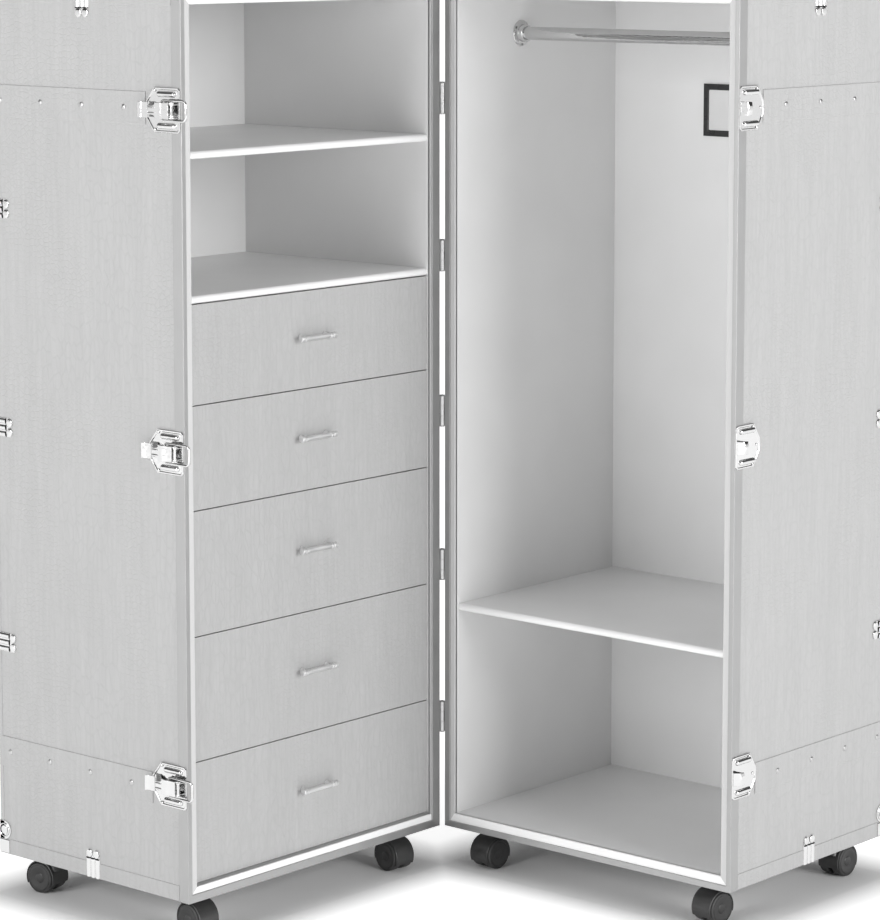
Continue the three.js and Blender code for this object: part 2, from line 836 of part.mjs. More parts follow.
function addLatches(shell) {
  latchHeightShares.forEach((share, i) => {
    const place = pivotGroup(shell, halfWidth, 0, share * shellHeight);
    addPiece(place, `latch_plate_${i + 1}`, latchPlate(), "chrome", -1);
    const leverPivot = pivotGroup(place, pivotHeight, -pivotSetback, 0);
    addPiece(leverPivot, `latch_lever_${i + 1}`, lever(), "chrome", -1);
    const bailPivot = pivotGroup(place, pivotHeight, -bailSetback, 0);
    addPiece(bailPivot, `latch_bail_${i + 1}`, bail(), "chrome", -1);
  });
}

function addCatches(shell) {
  latchHeightShares.forEach((share, i) => {
    const place = pivotGroup(shell, halfWidth, 0, share * shellHeight);
    addPiece(place, `latch_catch_${i + 1}`, catchPlate(), "chrome", 1);
  });
}

function addHinges(right, left) {
  hingeHeightShares.forEach((share, i) => {
    addPiece(right, `right_hinge_leaf_${i + 1}`, outerLeaf(), "nickel", 1).position.z = share * shellHeight;
    addPiece(left, `left_hinge_leaf_${i + 1}`, middleLeaf(), "nickel", -1).position.z = share * shellHeight;
  });
}

const rightHalf = pivotGroup(trunk, 0, 0, casterHeight);
const leftHalf = pivotGroup(trunk, 0, 0, casterHeight);
leftHalf.rotation.z = -quarterTurn;

const rightShell = addShell(rightHalf, "right", 1);
const leftShell = addShell(leftHalf, "left", -1);
addShelf(rightShell, "right_shelf", rightShelfShare, 1);
addShelf(leftShell, "left_upper_shelf", upperShelfShare, -1);
addShelf(leftShell, "left_lower_shelf", lowerShelfShare, -1);
addDrawers(leftShell);
addRail(rightShell);
addLatches(leftShell);
addCatches(rightShell);
addHinges(rightHalf, leftHalf);

// Casters stand as they last rolled: heading of each in degrees, one table for each half
const rightHeadings = [86, 84, 60, -92];
const leftHeadings = [264, 266, 220, 98];
addCasters(rightShell, "right", 1, rightHeadings);
addCasters(leftShell, "left", -1, leftHeadings);

// The part stands on the floor at the middle of its outline
trunk.updateMatrixWorld(true);
const outline = new THREE.Box3().setFromObject(trunk, true);
const middle = outline.getCenter(new THREE.Vector3());
trunk.position.set(-middle.x, -middle.y, -outline.min.z);

export default trunk;
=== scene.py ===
import math

import bmesh
import bpy
from mathutils import Matrix, Vector


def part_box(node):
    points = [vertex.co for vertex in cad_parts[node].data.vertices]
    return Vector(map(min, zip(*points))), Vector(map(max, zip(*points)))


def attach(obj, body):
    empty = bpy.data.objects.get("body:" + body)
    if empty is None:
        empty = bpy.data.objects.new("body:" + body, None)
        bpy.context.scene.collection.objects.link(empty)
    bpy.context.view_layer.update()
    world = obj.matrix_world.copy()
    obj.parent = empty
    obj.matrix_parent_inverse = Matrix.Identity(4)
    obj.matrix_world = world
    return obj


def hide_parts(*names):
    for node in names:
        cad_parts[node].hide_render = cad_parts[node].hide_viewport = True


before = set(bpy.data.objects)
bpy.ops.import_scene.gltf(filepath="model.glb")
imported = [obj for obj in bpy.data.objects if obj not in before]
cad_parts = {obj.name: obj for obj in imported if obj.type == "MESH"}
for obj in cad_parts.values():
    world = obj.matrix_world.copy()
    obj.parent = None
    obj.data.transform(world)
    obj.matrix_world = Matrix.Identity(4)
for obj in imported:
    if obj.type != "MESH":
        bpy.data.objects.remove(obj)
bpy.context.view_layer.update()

scene = bpy.context.scene
scene.view_settings.view_transform = "Standard"  # the photograph's whites are paper white, not rolled off
metre = 0.001  # the sizes below are in millimetres
rightAngle = math.pi / 2
print("frame loaded:", len(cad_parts), "nodes")

# ---- camera: a little above the middle of the trunk, looking down into the open corner
cameraSetup = {
    "place": (3.4002, -3.9236, 1.5725), "tilt": 82.967, "turn": 41.034,
    "lens": 127.37, "sensor": 36, "rise": -0.15, "near": 0.1, "far": 400,
}
cameraData = bpy.data.cameras.new("photoCamera")
cameraData.lens = cameraSetup["lens"]
cameraData.sensor_width = cameraSetup["sensor"]
cameraData.shift_y = cameraSetup["rise"]
cameraData.clip_start = cameraSetup["near"]
cameraData.clip_end = cameraSetup["far"]
camera = bpy.data.objects.new("photoCamera", cameraData)
camera.location = cameraSetup["place"]
camera.rotation_euler = (math.radians(cameraSetup["tilt"]), 0, math.radians(cameraSetup["turn"]))
scene.collection.objects.link(camera)
scene.camera = camera

# ---- the two halves: u runs out from the hinge-side wall, v back from the rim, z up from the underside
trunk = {
    "width": 585, "depth": 435, "height": 1400, "casterHeight": 70, "pinProud": 7, "rimGap": 0.5,
    "wall": 9.5, "backWall": 6.5, "edgingProud": 1.8,
}
wide, deep, tall = trunk["width"], trunk["depth"], trunk["height"]
pinProud, rimGap = trunk["pinProud"], trunk["rimGap"]
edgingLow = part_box("right_edging")[0] / metre
pinX = edgingLow.x + trunk["edgingProud"] - pinProud
pinY = edgingLow.y - rimGap


def basis(origin, xAxis, yAxis, zAxis):
    columns = Matrix((xAxis, yAxis, zAxis)).transposed().to_4x4()
    return Matrix.Translation(Vector(origin)) @ columns


def shifted(x, y, z):
    return Matrix.Translation((x, y, z))


def halfPlace(x, y, uAxis, vAxis):
    return Matrix.Scale(metre, 4) @ basis((x, y, trunk["casterHeight"]), uAxis, vAxis, (0, 0, 1))


# the place and the body of each half
halves = {
    "right": (halfPlace(pinX + pinProud, pinY + rimGap, (1, 0, 0), (0, 1, 0)), "right_half"),
    "left": (halfPlace(pinX - rimGap, pinY - pinProud, (0, -1, 0), (-1, 0, 0)), "left_half"),
}
rightPlace, leftPlace = halves["right"][0], halves["left"][0]
# hardware on a wall is drawn as setback (x), height (y) and distance out from the wall (z)
latchWall = basis((wide, 0, 0), (0, 1, 0), (0, 0, 1), (1, 0, 0))
hingeWall = basis((0, 0, 0), (0, 1, 0), (0, 0, 1), (-1, 0, 0))
# a lathe's axis laid along x, and along y
alongX = Matrix.Rotation(rightAngle, 4, "Y")
alongY = basis((0, 0, 0), (1, 0, 0), (0, 0, -1), (0, 1, 0))


# ---- small tools
def linearColour(code):
    channels = [int(code[i:i + 2], 16) / 255 for i in (1, 3, 5)]
    return tuple(c / 12.92 if c <= 0.04045 else ((c + 0.055) / 1.055) ** 2.4 for c in channels) + (1,)


def addNode(tree, kind, settings=None, values=None, links=None):
    node = tree.nodes.new(kind)
    for name, value in (settings or {}).items():
        setattr(node, name, value)
    for name, value in (values or {}).items():
        node.inputs[name].default_value = value
    for name, source in (links or {}).items():
        tree.links.new(source, node.inputs[name])
    return node


def skin(bm, rings, alongClosed=False):
    # faces between neighbouring closed rings of points, with a length-true UV map
    grid = [[bm.verts.new(point) for point in ring] for ring in rings]
    layer = bm.loops.layers.uv.verify()
    rows, columns = len(grid), len(grid[0])
    rowSteps = rows if alongClosed else rows - 1
    along, around = [0.0], [0.0]
    for i in range(rowSteps):
        along.append(along[-1] + (Vector(rings[(i + 1) % rows][0]) - Vector(rings[i][0])).length)
    for k in range(columns):
        around.append(around[-1] + (Vector(rings[0][(k + 1) % columns]) - Vector(rings[0][k])).length)
    for i in range(rowSteps):
        for k in range(columns):
            corners = [(i, k), (i, k + 1), (i + 1, k + 1), (i + 1, k)]
            face = bm.faces.new([grid[a % rows][b % columns] for a, b in corners])
            for loop, (a, b) in zip(face.loops, corners):
                loop[layer].uv = (along[a] * metre, around[b] * metre)
    return grid


def tidied(bm):
    weld = 0.001
    bmesh.ops.remove_doubles(bm, verts=bm.verts, dist=weld)
    bmesh.ops.dissolve_degenerate(bm, edges=bm.edges, dist=weld)
    bmesh.ops.recalc_face_normals(bm, faces=bm.faces)
    return bm


def solid(rings):
    # rings joined in order, with a face at each end
    bm = bmesh.new()
    grid = skin(bm, rings)
    bm.faces.new(grid[0])
    bm.faces.new(grid[-1])
    return tidied(bm)


def looped(rings):
    bm = bmesh.new()
    skin(bm, rings, alongClosed=True)
    return tidied(bm)


def rounded(bm, edges, width, segments):
    bmesh.ops.bevel(
        bm, geom=edges, offset=width, segments=segments, profile=0.5, affect="EDGES", clamp_overlap=True
    )


def bevelled(bm, width, segments=2, least=30, chosen=None):
    edges = [
        edge for edge in bm.edges
        if len(edge.link_faces) == 2
        and edge.calc_face_angle(0) > math.radians(least)
        and (chosen is None or chosen(edge))
    ]
    if edges and width:
        rounded(bm, edges, width, segments)
    return bm


def block(low, high, round=0.0, segments=2, slot=0):
    bm = bmesh.new()
    corners = [(x, y, z) for x in (low[0], high[0]) for y in (low[1], high[1]) for z in (low[2], high[2])]
    points = [bm.verts.new(corner) for corner in corners]
    for quad in ((0, 1, 3, 2), (4, 6, 7, 5), (0, 4, 5, 1), (2, 3, 7, 6), (0, 2, 6, 4), (1, 5, 7, 3)):
        bm.faces.new([points[i] for i in quad]).material_index = slot
    return bevelled(bm, round, segments)


def slab(outline, low, high, round=0.0):
    # a flat outline given some thickness, with its upper edge rounded
    bm = bmesh.new()
    base = [bm.verts.new((x, y, low)) for x, y in outline]
    top = [bm.verts.new((x, y, high)) for x, y in outline]
    bm.faces.new(base[::-1])
    cap = bm.faces.new(top)
    for i in range(len(outline)):
        j = (i + 1) % len(outline)
        bm.faces.new((base[i], base[j], top[j], top[i]))
    if round:
        rounded(bm, list(set(cap.edges)), round, 2)
    bmesh.ops.recalc_face_normals(bm, faces=bm.faces)
    return bm


def quarter(steps):
    return [rightAngle * i / steps for i in range(steps + 1)]


def turned(profile, sides):
    # a lathe profile of radius and height, turned about z
    bm = bmesh.new()
    angles = [4 * rightAngle * k / sides for k in range(sides)]
    skin(bm, [[(r * math.cos(a), r * math.sin(a), height) for a in angles] for r, height in profile])
    return tidied(bm)


def rod(radius, low, high, round, sides, bore=0):
    # a bar, or a tube with a bore, with its ends rounded off
    profile = [
        (bore, low), (radius - round, low), (radius, low + round),
        (radius, high - round), (radius - round, high), (bore, high),
    ]
    return turned(profile + profile[:1] if bore else profile, sides)


def wire(path, radius, sides):
    # a round wire along a closed path that lies across z
    flat = Vector((0, 0, 1))
    points = [Vector(point) for point in path]
    rings = []
    for i, point in enumerate(points):
        side = (points[(i + 1) % len(points)] - points[i - 1]).normalized().cross(flat)
        rings.append([
            point + radius * (math.cos(a) * side + math.sin(a) * flat)
            for a in (4 * rightAngle * k / sides for k in range(sides))
        ])
    return looped(rings)


def arc(centre, radius, start, end, steps):
    angles = [math.radians(start + (end - start) * i / steps) for i in range(steps + 1)]
    return [(centre[0] + radius * math.cos(a), centre[1] + radius * math.sin(a)) for a in angles]


def roundedOutline(low, high, radius, steps=5):
    x0, y0, x1, y1 = low[0] + radius, low[1] + radius, high[0] - radius, high[1] - radius
    corners = ((x1, y0), (x1, y1), (x0, y1), (x0, y0))
    bends = (arc(corner, radius, 90 * i - 90, 90 * i, steps) for i, corner in enumerate(corners))
    return [point for bend in bends for point in bend]


def gathered(parts):
    # one mesh from several, each alone or with its place
    bm = bmesh.new()
    for part in parts:
        source, place = part if isinstance(part, tuple) else (part, Matrix())
        source.transform(place)
        if place.determinant() < 0:
            bmesh.ops.reverse_faces(source, faces=source.faces)
        mesh = bpy.data.meshes.new("poured")
        source.to_mesh(mesh)
        bm.from_mesh(mesh)
        source.free()
        bpy.data.meshes.remove(mesh)
    return bm


creaseAngle = math.radians(32)


def finishPiece(name, bm, place, body, finishes, stands=(), slot=None, even=True):
    bm.transform(place)
    if place.determinant() < 0:
        bmesh.ops.reverse_faces(bm, faces=bm.faces)
    mesh = bpy.data.meshes.new(name)
    bm.to_mesh(mesh)
    bm.free()
    mesh.shade_smooth()
    mesh.set_sharp_from_angle(angle=creaseAngle)
    for finish in finishes:
        mesh.materials.append(finish)
    piece = settled(name, mesh, body)
    if even:
        piece.modifiers.new("evenShading", "WEIGHTED_NORMAL").keep_sharp = True
    if stands:
        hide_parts(*stands)


def settled(name, mesh, body):
    piece = bpy.data.objects.new(name, mesh)
    scene.collection.objects.link(piece)
    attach(piece, body)
    return piece


# ---- finishes
def newFinish(name, values):
    material = bpy.data.materials.new(name)
    material.use_nodes = True
    tree = material.node_tree
    shader = tree.nodes["Principled BSDF"]
    for socket, value in values.items():
        shader.inputs[socket].default_value = value
    return material, tree, shader


def pattern(tree, cell, coordinates="Object"):
    # coordinates divided by a cell size in millimetres, one number or three
    sizes = cell if isinstance(cell, tuple) else (cell,) * 3
    place = addNode(tree, "ShaderNodeTexCoord")
    return addNode(
        tree, "ShaderNodeMapping", values={"Scale": tuple(1 / (size * metre) for size in sizes)},
        links={"Vector": place.outputs[coordinates]},
    ).outputs["Vector"]


def noise(tree, vector, detail, output="Fac", roughness=0.5):
    return addNode(
        tree, "ShaderNodeTexNoise", values={"Scale": 1.0, "Detail": detail, "Roughness": roughness},
        links={"Vector": vector},
    ).outputs[output]


def ranged(tree, source, low, high, first=0.0, last=1.0):
    return addNode(
        tree, "ShaderNodeMapRange",
        values={"From Min": first, "From Max": last, "To Min": low, "To Max": high},
        links={"Value": source},
    ).outputs["Result"]


def combined(tree, operation, first, second):
    node = addNode(tree, "ShaderNodeMath", {"operation": operation})
    for i, source in enumerate((first, second)):
        if isinstance(source, (int, float)):
            node.inputs[i].default_value = source
        else:
            tree.links.new(source, node.inputs[i])
    return node.outputs[0]


def tinted(tree, shader, code, factor):
    # the base colour, made lighter and darker by a factor near one
    colour = addNode(
        tree, "ShaderNodeMix", {"data_type": "RGBA", "blend_type": "MULTIPLY"},
        values={0: 1.0, 6: linearColour(code)}, links={7: factor},
    )
    tree.links.new(colour.outputs[2], shader.inputs["Base Color"])


def bumped(tree, shader, height, distance):
    bump = addNode(tree, "ShaderNodeBump", values={"Distance": distance * metre}, links={"Height": height})
    tree.links.new(bump.outputs["Normal"], shader.inputs["Normal"])


# Vinyl leathercloth, embossed like crocodile hide: long scales in some zones and small round ones in others,
# hardly raised, with faint upright streaks, and with painted shade: the creases between the scales are
# coloured a little darker
leatherclothSetup = {
    "scales": ((11, 11, 27), (9, 9, 9)), "drift": (60, 60, 90), "zone": (170, 170, 240), "grain": 0.9,
    # hide is the colour range from the creases to the scales' tops: painted shade in the creases
    "streak": (28, 28, 320), "fine": (5, 5, 75), "hide": (0.965, 1.0),
}


def makeLeathercloth(name, code, depth):
    setup = leatherclothSetup
    material, tree, shader = newFinish(name, {"Roughness": 0.5, "IOR": 1.5, "Specular IOR Level": 0.42})
    drift = noise(tree, pattern(tree, setup["drift"]), 1.0, "Color")
    heights = []
    for cell in setup["scales"]:
        bent = addNode(
            tree, "ShaderNodeVectorMath", {"operation": "ADD"}, links={0: pattern(tree, cell), 1: drift}
        )
        scales = addNode(
            tree, "ShaderNodeTexVoronoi", {"feature": "DISTANCE_TO_EDGE"},
            values={"Scale": 1.0, "Randomness": 0.8}, links={"Vector": bent.outputs[0]},
        )
        heights.append(ranged(tree, scales.outputs["Distance"], 0.0, 1.0, 0.0, 0.16))
    share = ranged(tree, noise(tree, pattern(tree, setup["zone"]), 1.0), 0.0, 1.0, 0.44, 0.56)
    hide = addNode(tree, "ShaderNodeMix", links={0: share, 2: heights[0], 3: heights[1]}).outputs[0]
    grain = noise(tree, pattern(tree, setup["grain"]), 3.0)
    bumped(tree, shader, combined(tree, "ADD", hide, ranged(tree, grain, 0.0, 0.25)), depth)
    drawn = combined(
        tree, "MULTIPLY",
        ranged(tree, noise(tree, pattern(tree, setup["streak"]), 2.0), 0.98, 1.02, 0.3, 0.7),
        ranged(tree, noise(tree, pattern(tree, setup["fine"]), 2.0), 0.975, 1.03, 0.35, 0.7),
    )
    # painted shade: the colour darkens towards the creases between the scales, over the hide range
    tinted(tree, shader, code, combined(tree, "MULTIPLY", ranged(tree, hide, *setup["hide"]), drawn))
    return material


# Melamine laminate board: even, faintly pearly, with a very shallow orange peel
laminateSetup = {"cloud": 140, "peel": 2.6, "depth": 0.03}


def makeLaminate(name, code, roughness):
    setup = laminateSetup
    material, tree, shader = newFinish(name, {"IOR": 1.5, "Specular IOR Level": 0.45})
    cloud = noise(tree, pattern(tree, setup["cloud"]), 2.0)
    peel = noise(tree, pattern(tree, setup["peel"]), 2.0)
    tinted(tree, shader, code, ranged(tree, cloud, 0.975, 1.015, 0.3, 0.7))
    tree.links.new(ranged(tree, peel, roughness - 0.04, roughness + 0.05), shader.inputs["Roughness"])
    bumped(tree, shader, peel, setup["depth"])
    return material


# Metal sheet or bar with soft wear patches: brushed along the UV map, or pressed sheet that isn't quite flat
metalSetup = {"patch": 38, "fine": 0.8, "swell": 7, "brushed": 0.004, "plain": 0.002, "least": 0.03}


def makeMetal(name, code, roughness, streak=None, wear=0.04, wave=0.0):
    setup = metalSetup
    material, tree, shader = newFinish(name, {"Metallic": 1.0})
    patch = noise(tree, pattern(tree, setup["patch"]), 4.0)
    tinted(tree, shader, code, ranged(tree, patch, 1 - wear, 1 + wear / 2, 0.3, 0.7))
    cells = pattern(tree, (*streak, 1 / metre), "UV") if streak else pattern(tree, setup["fine"])
    lines = noise(tree, cells, 3.0)
    worn = combined(
        tree, "ADD",
        ranged(tree, lines, roughness * 0.85, roughness * 1.15, 0.3, 0.7),
        ranged(tree, patch, -wear, wear, 0.3, 0.7),
    )
    tree.links.new(combined(tree, "MAXIMUM", worn, setup["least"]), shader.inputs["Roughness"])
    if wave:
        bumped(tree, shader, noise(tree, pattern(tree, setup["swell"]), 1.0), wave)
    else:
        bumped(tree, shader, lines, setup["brushed"] if streak else setup["plain"])
    return material


# Moulded plastic: a fine spark-eroded texture with slight scuffs
def makeMoulded(name, code, roughness, grain, depth):
    material, tree, shader = newFinish(name, {"IOR": 1.53, "Specular IOR Level": 0.5})
    spark = noise(tree, pattern(tree, grain), 2.0)
    scuff = noise(tree, pattern(tree, 14), 5.0, roughness=0.7)
    tinted(tree, shader, code, ranged(tree, scuff, 0.85, 1.2, 0.35, 0.7))
    uneven = ranged(tree, scuff, roughness - 0.06, roughness + 0.1, 0.35, 0.7)
    tree.links.new(uneven, shader.inputs["Roughness"])
    bumped(tree, shader, spark, depth)
    return material


leathercloth = makeLeathercloth("embossedLeathercloth", "#aaaaaa", 0.24)
# the strips' cut edges, a shade darker than the cloth: partly the edge's own tone, partly painted shade where
# the strip meets the wall
cutEdgeAndShade = makeLeathercloth("leatherclothCutEdgeAndShade", "#a6a6a6", 0.05)
laminate = makeLaminate("whiteMelamineLaminate", "#e1e1e1", 0.42)
lipping = makeLaminate("whitePvcLipping", "#e9e9e9", 0.3)  # extruded edge strip, smoother than the board
# the same white lipping painted a shade darker: painted shade for the upright sides of the lip
shadedLipping = makeLaminate("whitePvcLippingPaintedShade", "#c2c2c2", 0.4)
aluminium = makeMetal("satinAnodisedAluminium", "#a9a9a9", 0.5, streak=(60, 0.5))
chrome = makeMetal("polishedChromePlate", "#d0d0d0", 0.08, wear=0.02, wave=0.32)
brushedNickel = makeMetal("brushedNickelPlate", "#e0e0e0", 0.48, streak=(30, 0.6))
nickel = makeMetal("satinNickelPlate", "#b8b8b8", 0.3)
zinc = makeMetal("zincPlatedSteel", "#9f9f9f", 0.36, wear=0.08)
# painted shadow: a dark cross on the screw heads where the recess would be in shade
slotShadow = makeMetal("screwRecessPaintedShadow", "#2e2f30", 0.5)
nylon = makeMoulded("blackNylonMoulding", "#303030", 0.36, 0.5, 0.02)
polyurethane = makeMoulded("charcoalPolyurethaneTread", "#3a3a3a", 0.55, 0.8, 0.04)
blackFrame = makeMoulded("blackEnamelFrame", "#1d1d1e", 0.3, 1.4, 0.01)
plainCard = makeLaminate("plainPaperCard", "#d5d5d5", 0.6)
print("finishes made:", len(bpy.data.materials))

# ---- repeats by geometry nodes
number, whole, finishSocket = "NodeSocketFloat", "NodeSocketInt", "NodeSocketMaterial"


def newTree(name, inputs):
    tree = bpy.data.node_groups.new(name, "GeometryNodeTree")
    tree.interface.new_socket("Geometry", in_out="INPUT", socket_type="NodeSocketGeometry")
    for label, (kind, value) in inputs.items():
        socket = tree.interface.new_socket(label, in_out="INPUT", socket_type=kind)
        if value is not None:
            socket.default_value = value
    tree.interface.new_socket("Geometry", in_out="OUTPUT", socket_type="NodeSocketGeometry")
    return tree, addNode(tree, "NodeGroupInput").outputs, addNode(tree, "NodeGroupOutput").inputs


def outwardRotation(tree):
    outward = addNode(
        tree, "GeometryNodeInputNamedAttribute", {"data_type": "FLOAT_VECTOR"}, {"Name": "outward"}
    )
    return addNode(
        tree, "FunctionNodeAlignRotationToVector", {"axis": "Z"}, links={"Vector": outward.outputs[0]}
    ).outputs[0]


def onSeats(tree, points, instance, rotation):
    placed = addNode(
        tree, "GeometryNodeInstanceOnPoints",
        links={"Points": points, "Instance": instance, "Rotation": rotation},
    )
    return addNode(
        tree, "GeometryNodeRealizeInstances", links={"Geometry": placed.outputs["Instances"]}
    ).outputs["Geometry"]


def coated(tree, geometry, finish):
    return addNode(
        tree, "GeometryNodeSetMaterial", links={"Geometry": geometry, "Material": finish}
    ).outputs["Geometry"]


def makeDomeTree(name, sides, rings, spacing=None):
    # domed heads on seats, or at an even spacing along each run of a path
    inputs = {"Spacing": (number, spacing)} if spacing else {}
    tree, given, out = newTree(name, {
        **inputs,
        "Head radius": (number, 0.004),
        "Head height": (number, 0.0015),
        "Sides": (whole, sides),
        "Finish": (finishSocket, None),
    })
    points = given["Geometry"]
    if spacing:
        path = addNode(tree, "GeometryNodeMeshToCurve", links={"Mesh": points})
        points = addNode(
            tree, "GeometryNodeResampleCurve", {"mode": "LENGTH"},
            links={"Curve": path.outputs["Curve"], "Length": given["Spacing"]},
        ).outputs["Curve"]
    ball = addNode(
        tree, "GeometryNodeMeshUVSphere", values={"Rings": rings},
        links={"Segments": given["Sides"], "Radius": given["Head radius"]},
    )
    squash = combined(tree, "DIVIDE", given["Head height"], given["Head radius"])
    scale = addNode(tree, "ShaderNodeCombineXYZ", values={"X": 1.0, "Y": 1.0}, links={"Z": squash})
    dome = addNode(
        tree, "GeometryNodeTransform", links={"Geometry": ball.outputs["Mesh"], "Scale": scale.outputs[0]}
    )
    real = onSeats(tree, points, dome.outputs["Geometry"], outwardRotation(tree))
    smooth = addNode(tree, "GeometryNodeSetShadeSmooth", links={"Geometry": real})
    tree.links.new(coated(tree, smooth.outputs[0], given["Finish"]), out["Geometry"])
    return tree


def makeScrewTree():
    # flat heads with a cross recess, each turned by its own seeded angle; the recess is a dark cross standing
    # on the head, painted shadow in place of a hollow
    armReach, armHeight, mostTurn = 1.25, 2.12, 3.0
    tree, given, out = newTree("crossHeadScrews", {
        "Head radius": (number, 0.0035),
        "Head height": (number, 0.0004),
        "Recess width": (number, 0.0008),
        "Seed": (whole, 7),
        "Finish": (finishSocket, None),
        "Recess painted shadow": (finishSocket, None),
    })
    disc = addNode(
        tree, "GeometryNodeMeshCylinder", values={"Vertices": 20},
        links={
            "Radius": given["Head radius"], "Depth": combined(tree, "MULTIPLY", given["Head height"], 2.0),
        },
    )
    head = coated(tree, disc.outputs["Mesh"], given["Finish"])
    reach = combined(tree, "MULTIPLY", given["Head radius"], armReach)
    high = combined(tree, "MULTIPLY", given["Head height"], armHeight)
    arms = []
    for first, second in (("X", "Y"), ("Y", "X")):
        size = addNode(
            tree, "ShaderNodeCombineXYZ", links={first: reach, second: given["Recess width"], "Z": high}
        )
        arms.append(addNode(tree, "GeometryNodeMeshCube", links={"Size": size.outputs[0]}).outputs["Mesh"])
    cross = addNode(tree, "GeometryNodeJoinGeometry", links={"Geometry": arms[0]})
    tree.links.new(arms[1], cross.inputs["Geometry"])
    screw = addNode(tree, "GeometryNodeJoinGeometry", links={"Geometry": head})
    tree.links.new(coated(tree, cross.outputs["Geometry"], given["Recess painted shadow"]), screw.inputs["Geometry"])
    turn = addNode(
        tree, "FunctionNodeRandomValue", {"data_type": "FLOAT"}, {"Max": mostTurn}, {"Seed": given["Seed"]}
    )
    spin = addNode(tree, "ShaderNodeCombineXYZ", links={"Z": turn.outputs[1]})
    toRotation = addNode(tree, "FunctionNodeEulerToRotation", links={0: spin.outputs[0]})
    both = addNode(
        tree, "FunctionNodeRotateRotation", {"rotation_space": "LOCAL"},
        links={0: outwardRotation(tree), 1: toRotation.outputs[0]},
    )
    real = onSeats(tree, given["Geometry"], screw.outputs["Geometry"], both.outputs[0])
    tree.links.new(real, out["Geometry"])
    return tree


rivetTree = makeDomeTree("domedHeads", 16, 8)
nailTree = makeDomeTree("nailRow", 18, 10, 0.093)
screwTree = makeScrewTree()


def grown(name, tree, seats, values, body, runs=()):
    # seats are points with an outward direction, in metres; runs are pairs of seats that a path joins
    seed = bpy.data.meshes.new(name + "Seats")
    seed.from_pydata([tuple(point) for point, outward in seats], list(runs), [])
    outward = seed.attributes.new("outward", "FLOAT_VECTOR", "POINT")
    for i, (point, direction) in enumerate(seats):
        outward.data[i].vector = direction
    holder = bpy.data.objects.new(name + "Seats", seed)
    scene.collection.objects.link(holder)
    growth = holder.modifiers.new("growth", "NODES")
    growth.node_group = tree
    sockets = {item.name: item.identifier for item in tree.interface.items_tree if item.in_out == "INPUT"}
    for label, value in values.items():
        growth[sockets[label]] = value
    shown = holder.evaluated_get(bpy.context.evaluated_depsgraph_get())
    mesh = bpy.data.meshes.new_from_object(shown)
    mesh.name = name
    holder.modifiers.clear()
    bpy.data.objects.remove(holder)
    settled(name, mesh, body)


def seated(place, point, outward):
    return place @ Vector(point), (place.to_3x3() @ Vector(outward)).normalized()


fasteners = {}


def fasten(kind, body, place, points, outward=(0, 0, 1)):
    fasteners.setdefault((kind, body), []).extend(seated(place, point, outward) for point in points)


# ---- casing of each half: plywood box covered in leathercloth, with bindings and straps
shellSetup = {"cornerRadius": 3.0, "rimSetback": 1.8, "cornerSteps": 5, "sink": 0.4}
bindingSetup = {"width": 24, "uprightLeg": 9, "proud": 1.0, "start": 21.6, "edgeWidth": 0.7, "round": 0.5}
strapSetup = {
    "width": 50, "proud": 1.2, "inset": {"left": 78, "right": 64.5}, "shares": (0.121, 0.8725),
    "nailStart": 125, "nailRadius": 4.5, "nailHeight": 1.7, "nailSpacing": 93, "nailInset": 28,
}
near = 0.01  # points closer than this to a plane lie on it


def tray(outerLow, outerHigh, innerLow, innerHigh, round, innerRound=0.0):
    # a box open at the front: outer and inner faces and the ring that joins them
    bm = bmesh.new()
    rings = []
    for low, high, y in (
        (outerLow, outerHigh, outerHigh[1]), (outerLow, outerHigh, outerLow[1]),
        (innerLow, innerHigh, outerLow[1]), (innerLow, innerHigh, innerHigh[1]),
    ):
        corners = ((low[0], low[2]), (high[0], low[2]), (high[0], high[2]), (low[0], high[2]))
        rings.append([bm.verts.new((x, y, z)) for x, z in corners])
    for first, second in zip(rings, rings[1:]):
        for i in range(4):
            bm.faces.new((first[i], first[(i + 1) % 4], second[(i + 1) % 4], second[i]))
    bm.faces.new(rings[0])
    bm.faces.new(rings[-1])
    bmesh.ops.recalc_face_normals(bm, faces=bm.faces)

    def outside(edge):
        centre = (edge.verts[0].co + edge.verts[1].co) / 2
        spans = ((outerLow[0], outerHigh[0], centre.x), (outerLow[2], outerHigh[2], centre.z))
        ends = [min(abs(value - low), abs(value - high)) < near for low, high, value in spans]
        return all(ends) or (any(ends) and abs(centre.y - outerHigh[1]) < near)

    bevelled(bm, round, 3, chosen=outside)
    if innerRound:
        front = outerLow[1]
        bevelled(bm, innerRound, chosen=lambda edge: all(abs(v.co.y - front) < near for v in edge.verts))
    return bm


def makeShell(side):
    wall = trunk["wall"]
    bm = tray(
        (0, shellSetup["rimSetback"], 0), (wide, deep, tall),
        (wall, 0, wall), (wide - wall, deep - trunk["backWall"], tall - wall), shellSetup["cornerRadius"],
    )
    finishPiece(side + "_shell_cover", bm, *halves[side], [leathercloth], (side + "_casing",), "covering")


def stripAround(path, low, high, proud):
    # a flat strip laid on the walls along a path in plan, with cut edges of the second finish, a shade darker
    # than the cloth: partly the cut edge's own tone, partly painted shade along the strip's edges
    # path holds (point, outward) pairs in plan; low and high are the heights of its two edges
    sink, edge = shellSetup["sink"], bindingSetup["edgeWidth"]
    section = [(low, -sink), (low, proud - edge), (low + edge, proud),
               (high - edge, proud), (high, proud - edge), (high, -sink)]
    bm = solid([[(x + n * ox, y + n * oy, z) for z, n in section] for (x, y), (ox, oy) in path])
    # the edge faces take the darker second finish: painted shade along the strip's edges
    for face in bm.faces:
        face.normal_update()
        if abs(face.normal.z) > 0.5:
            face.material_index = 1
    return bm


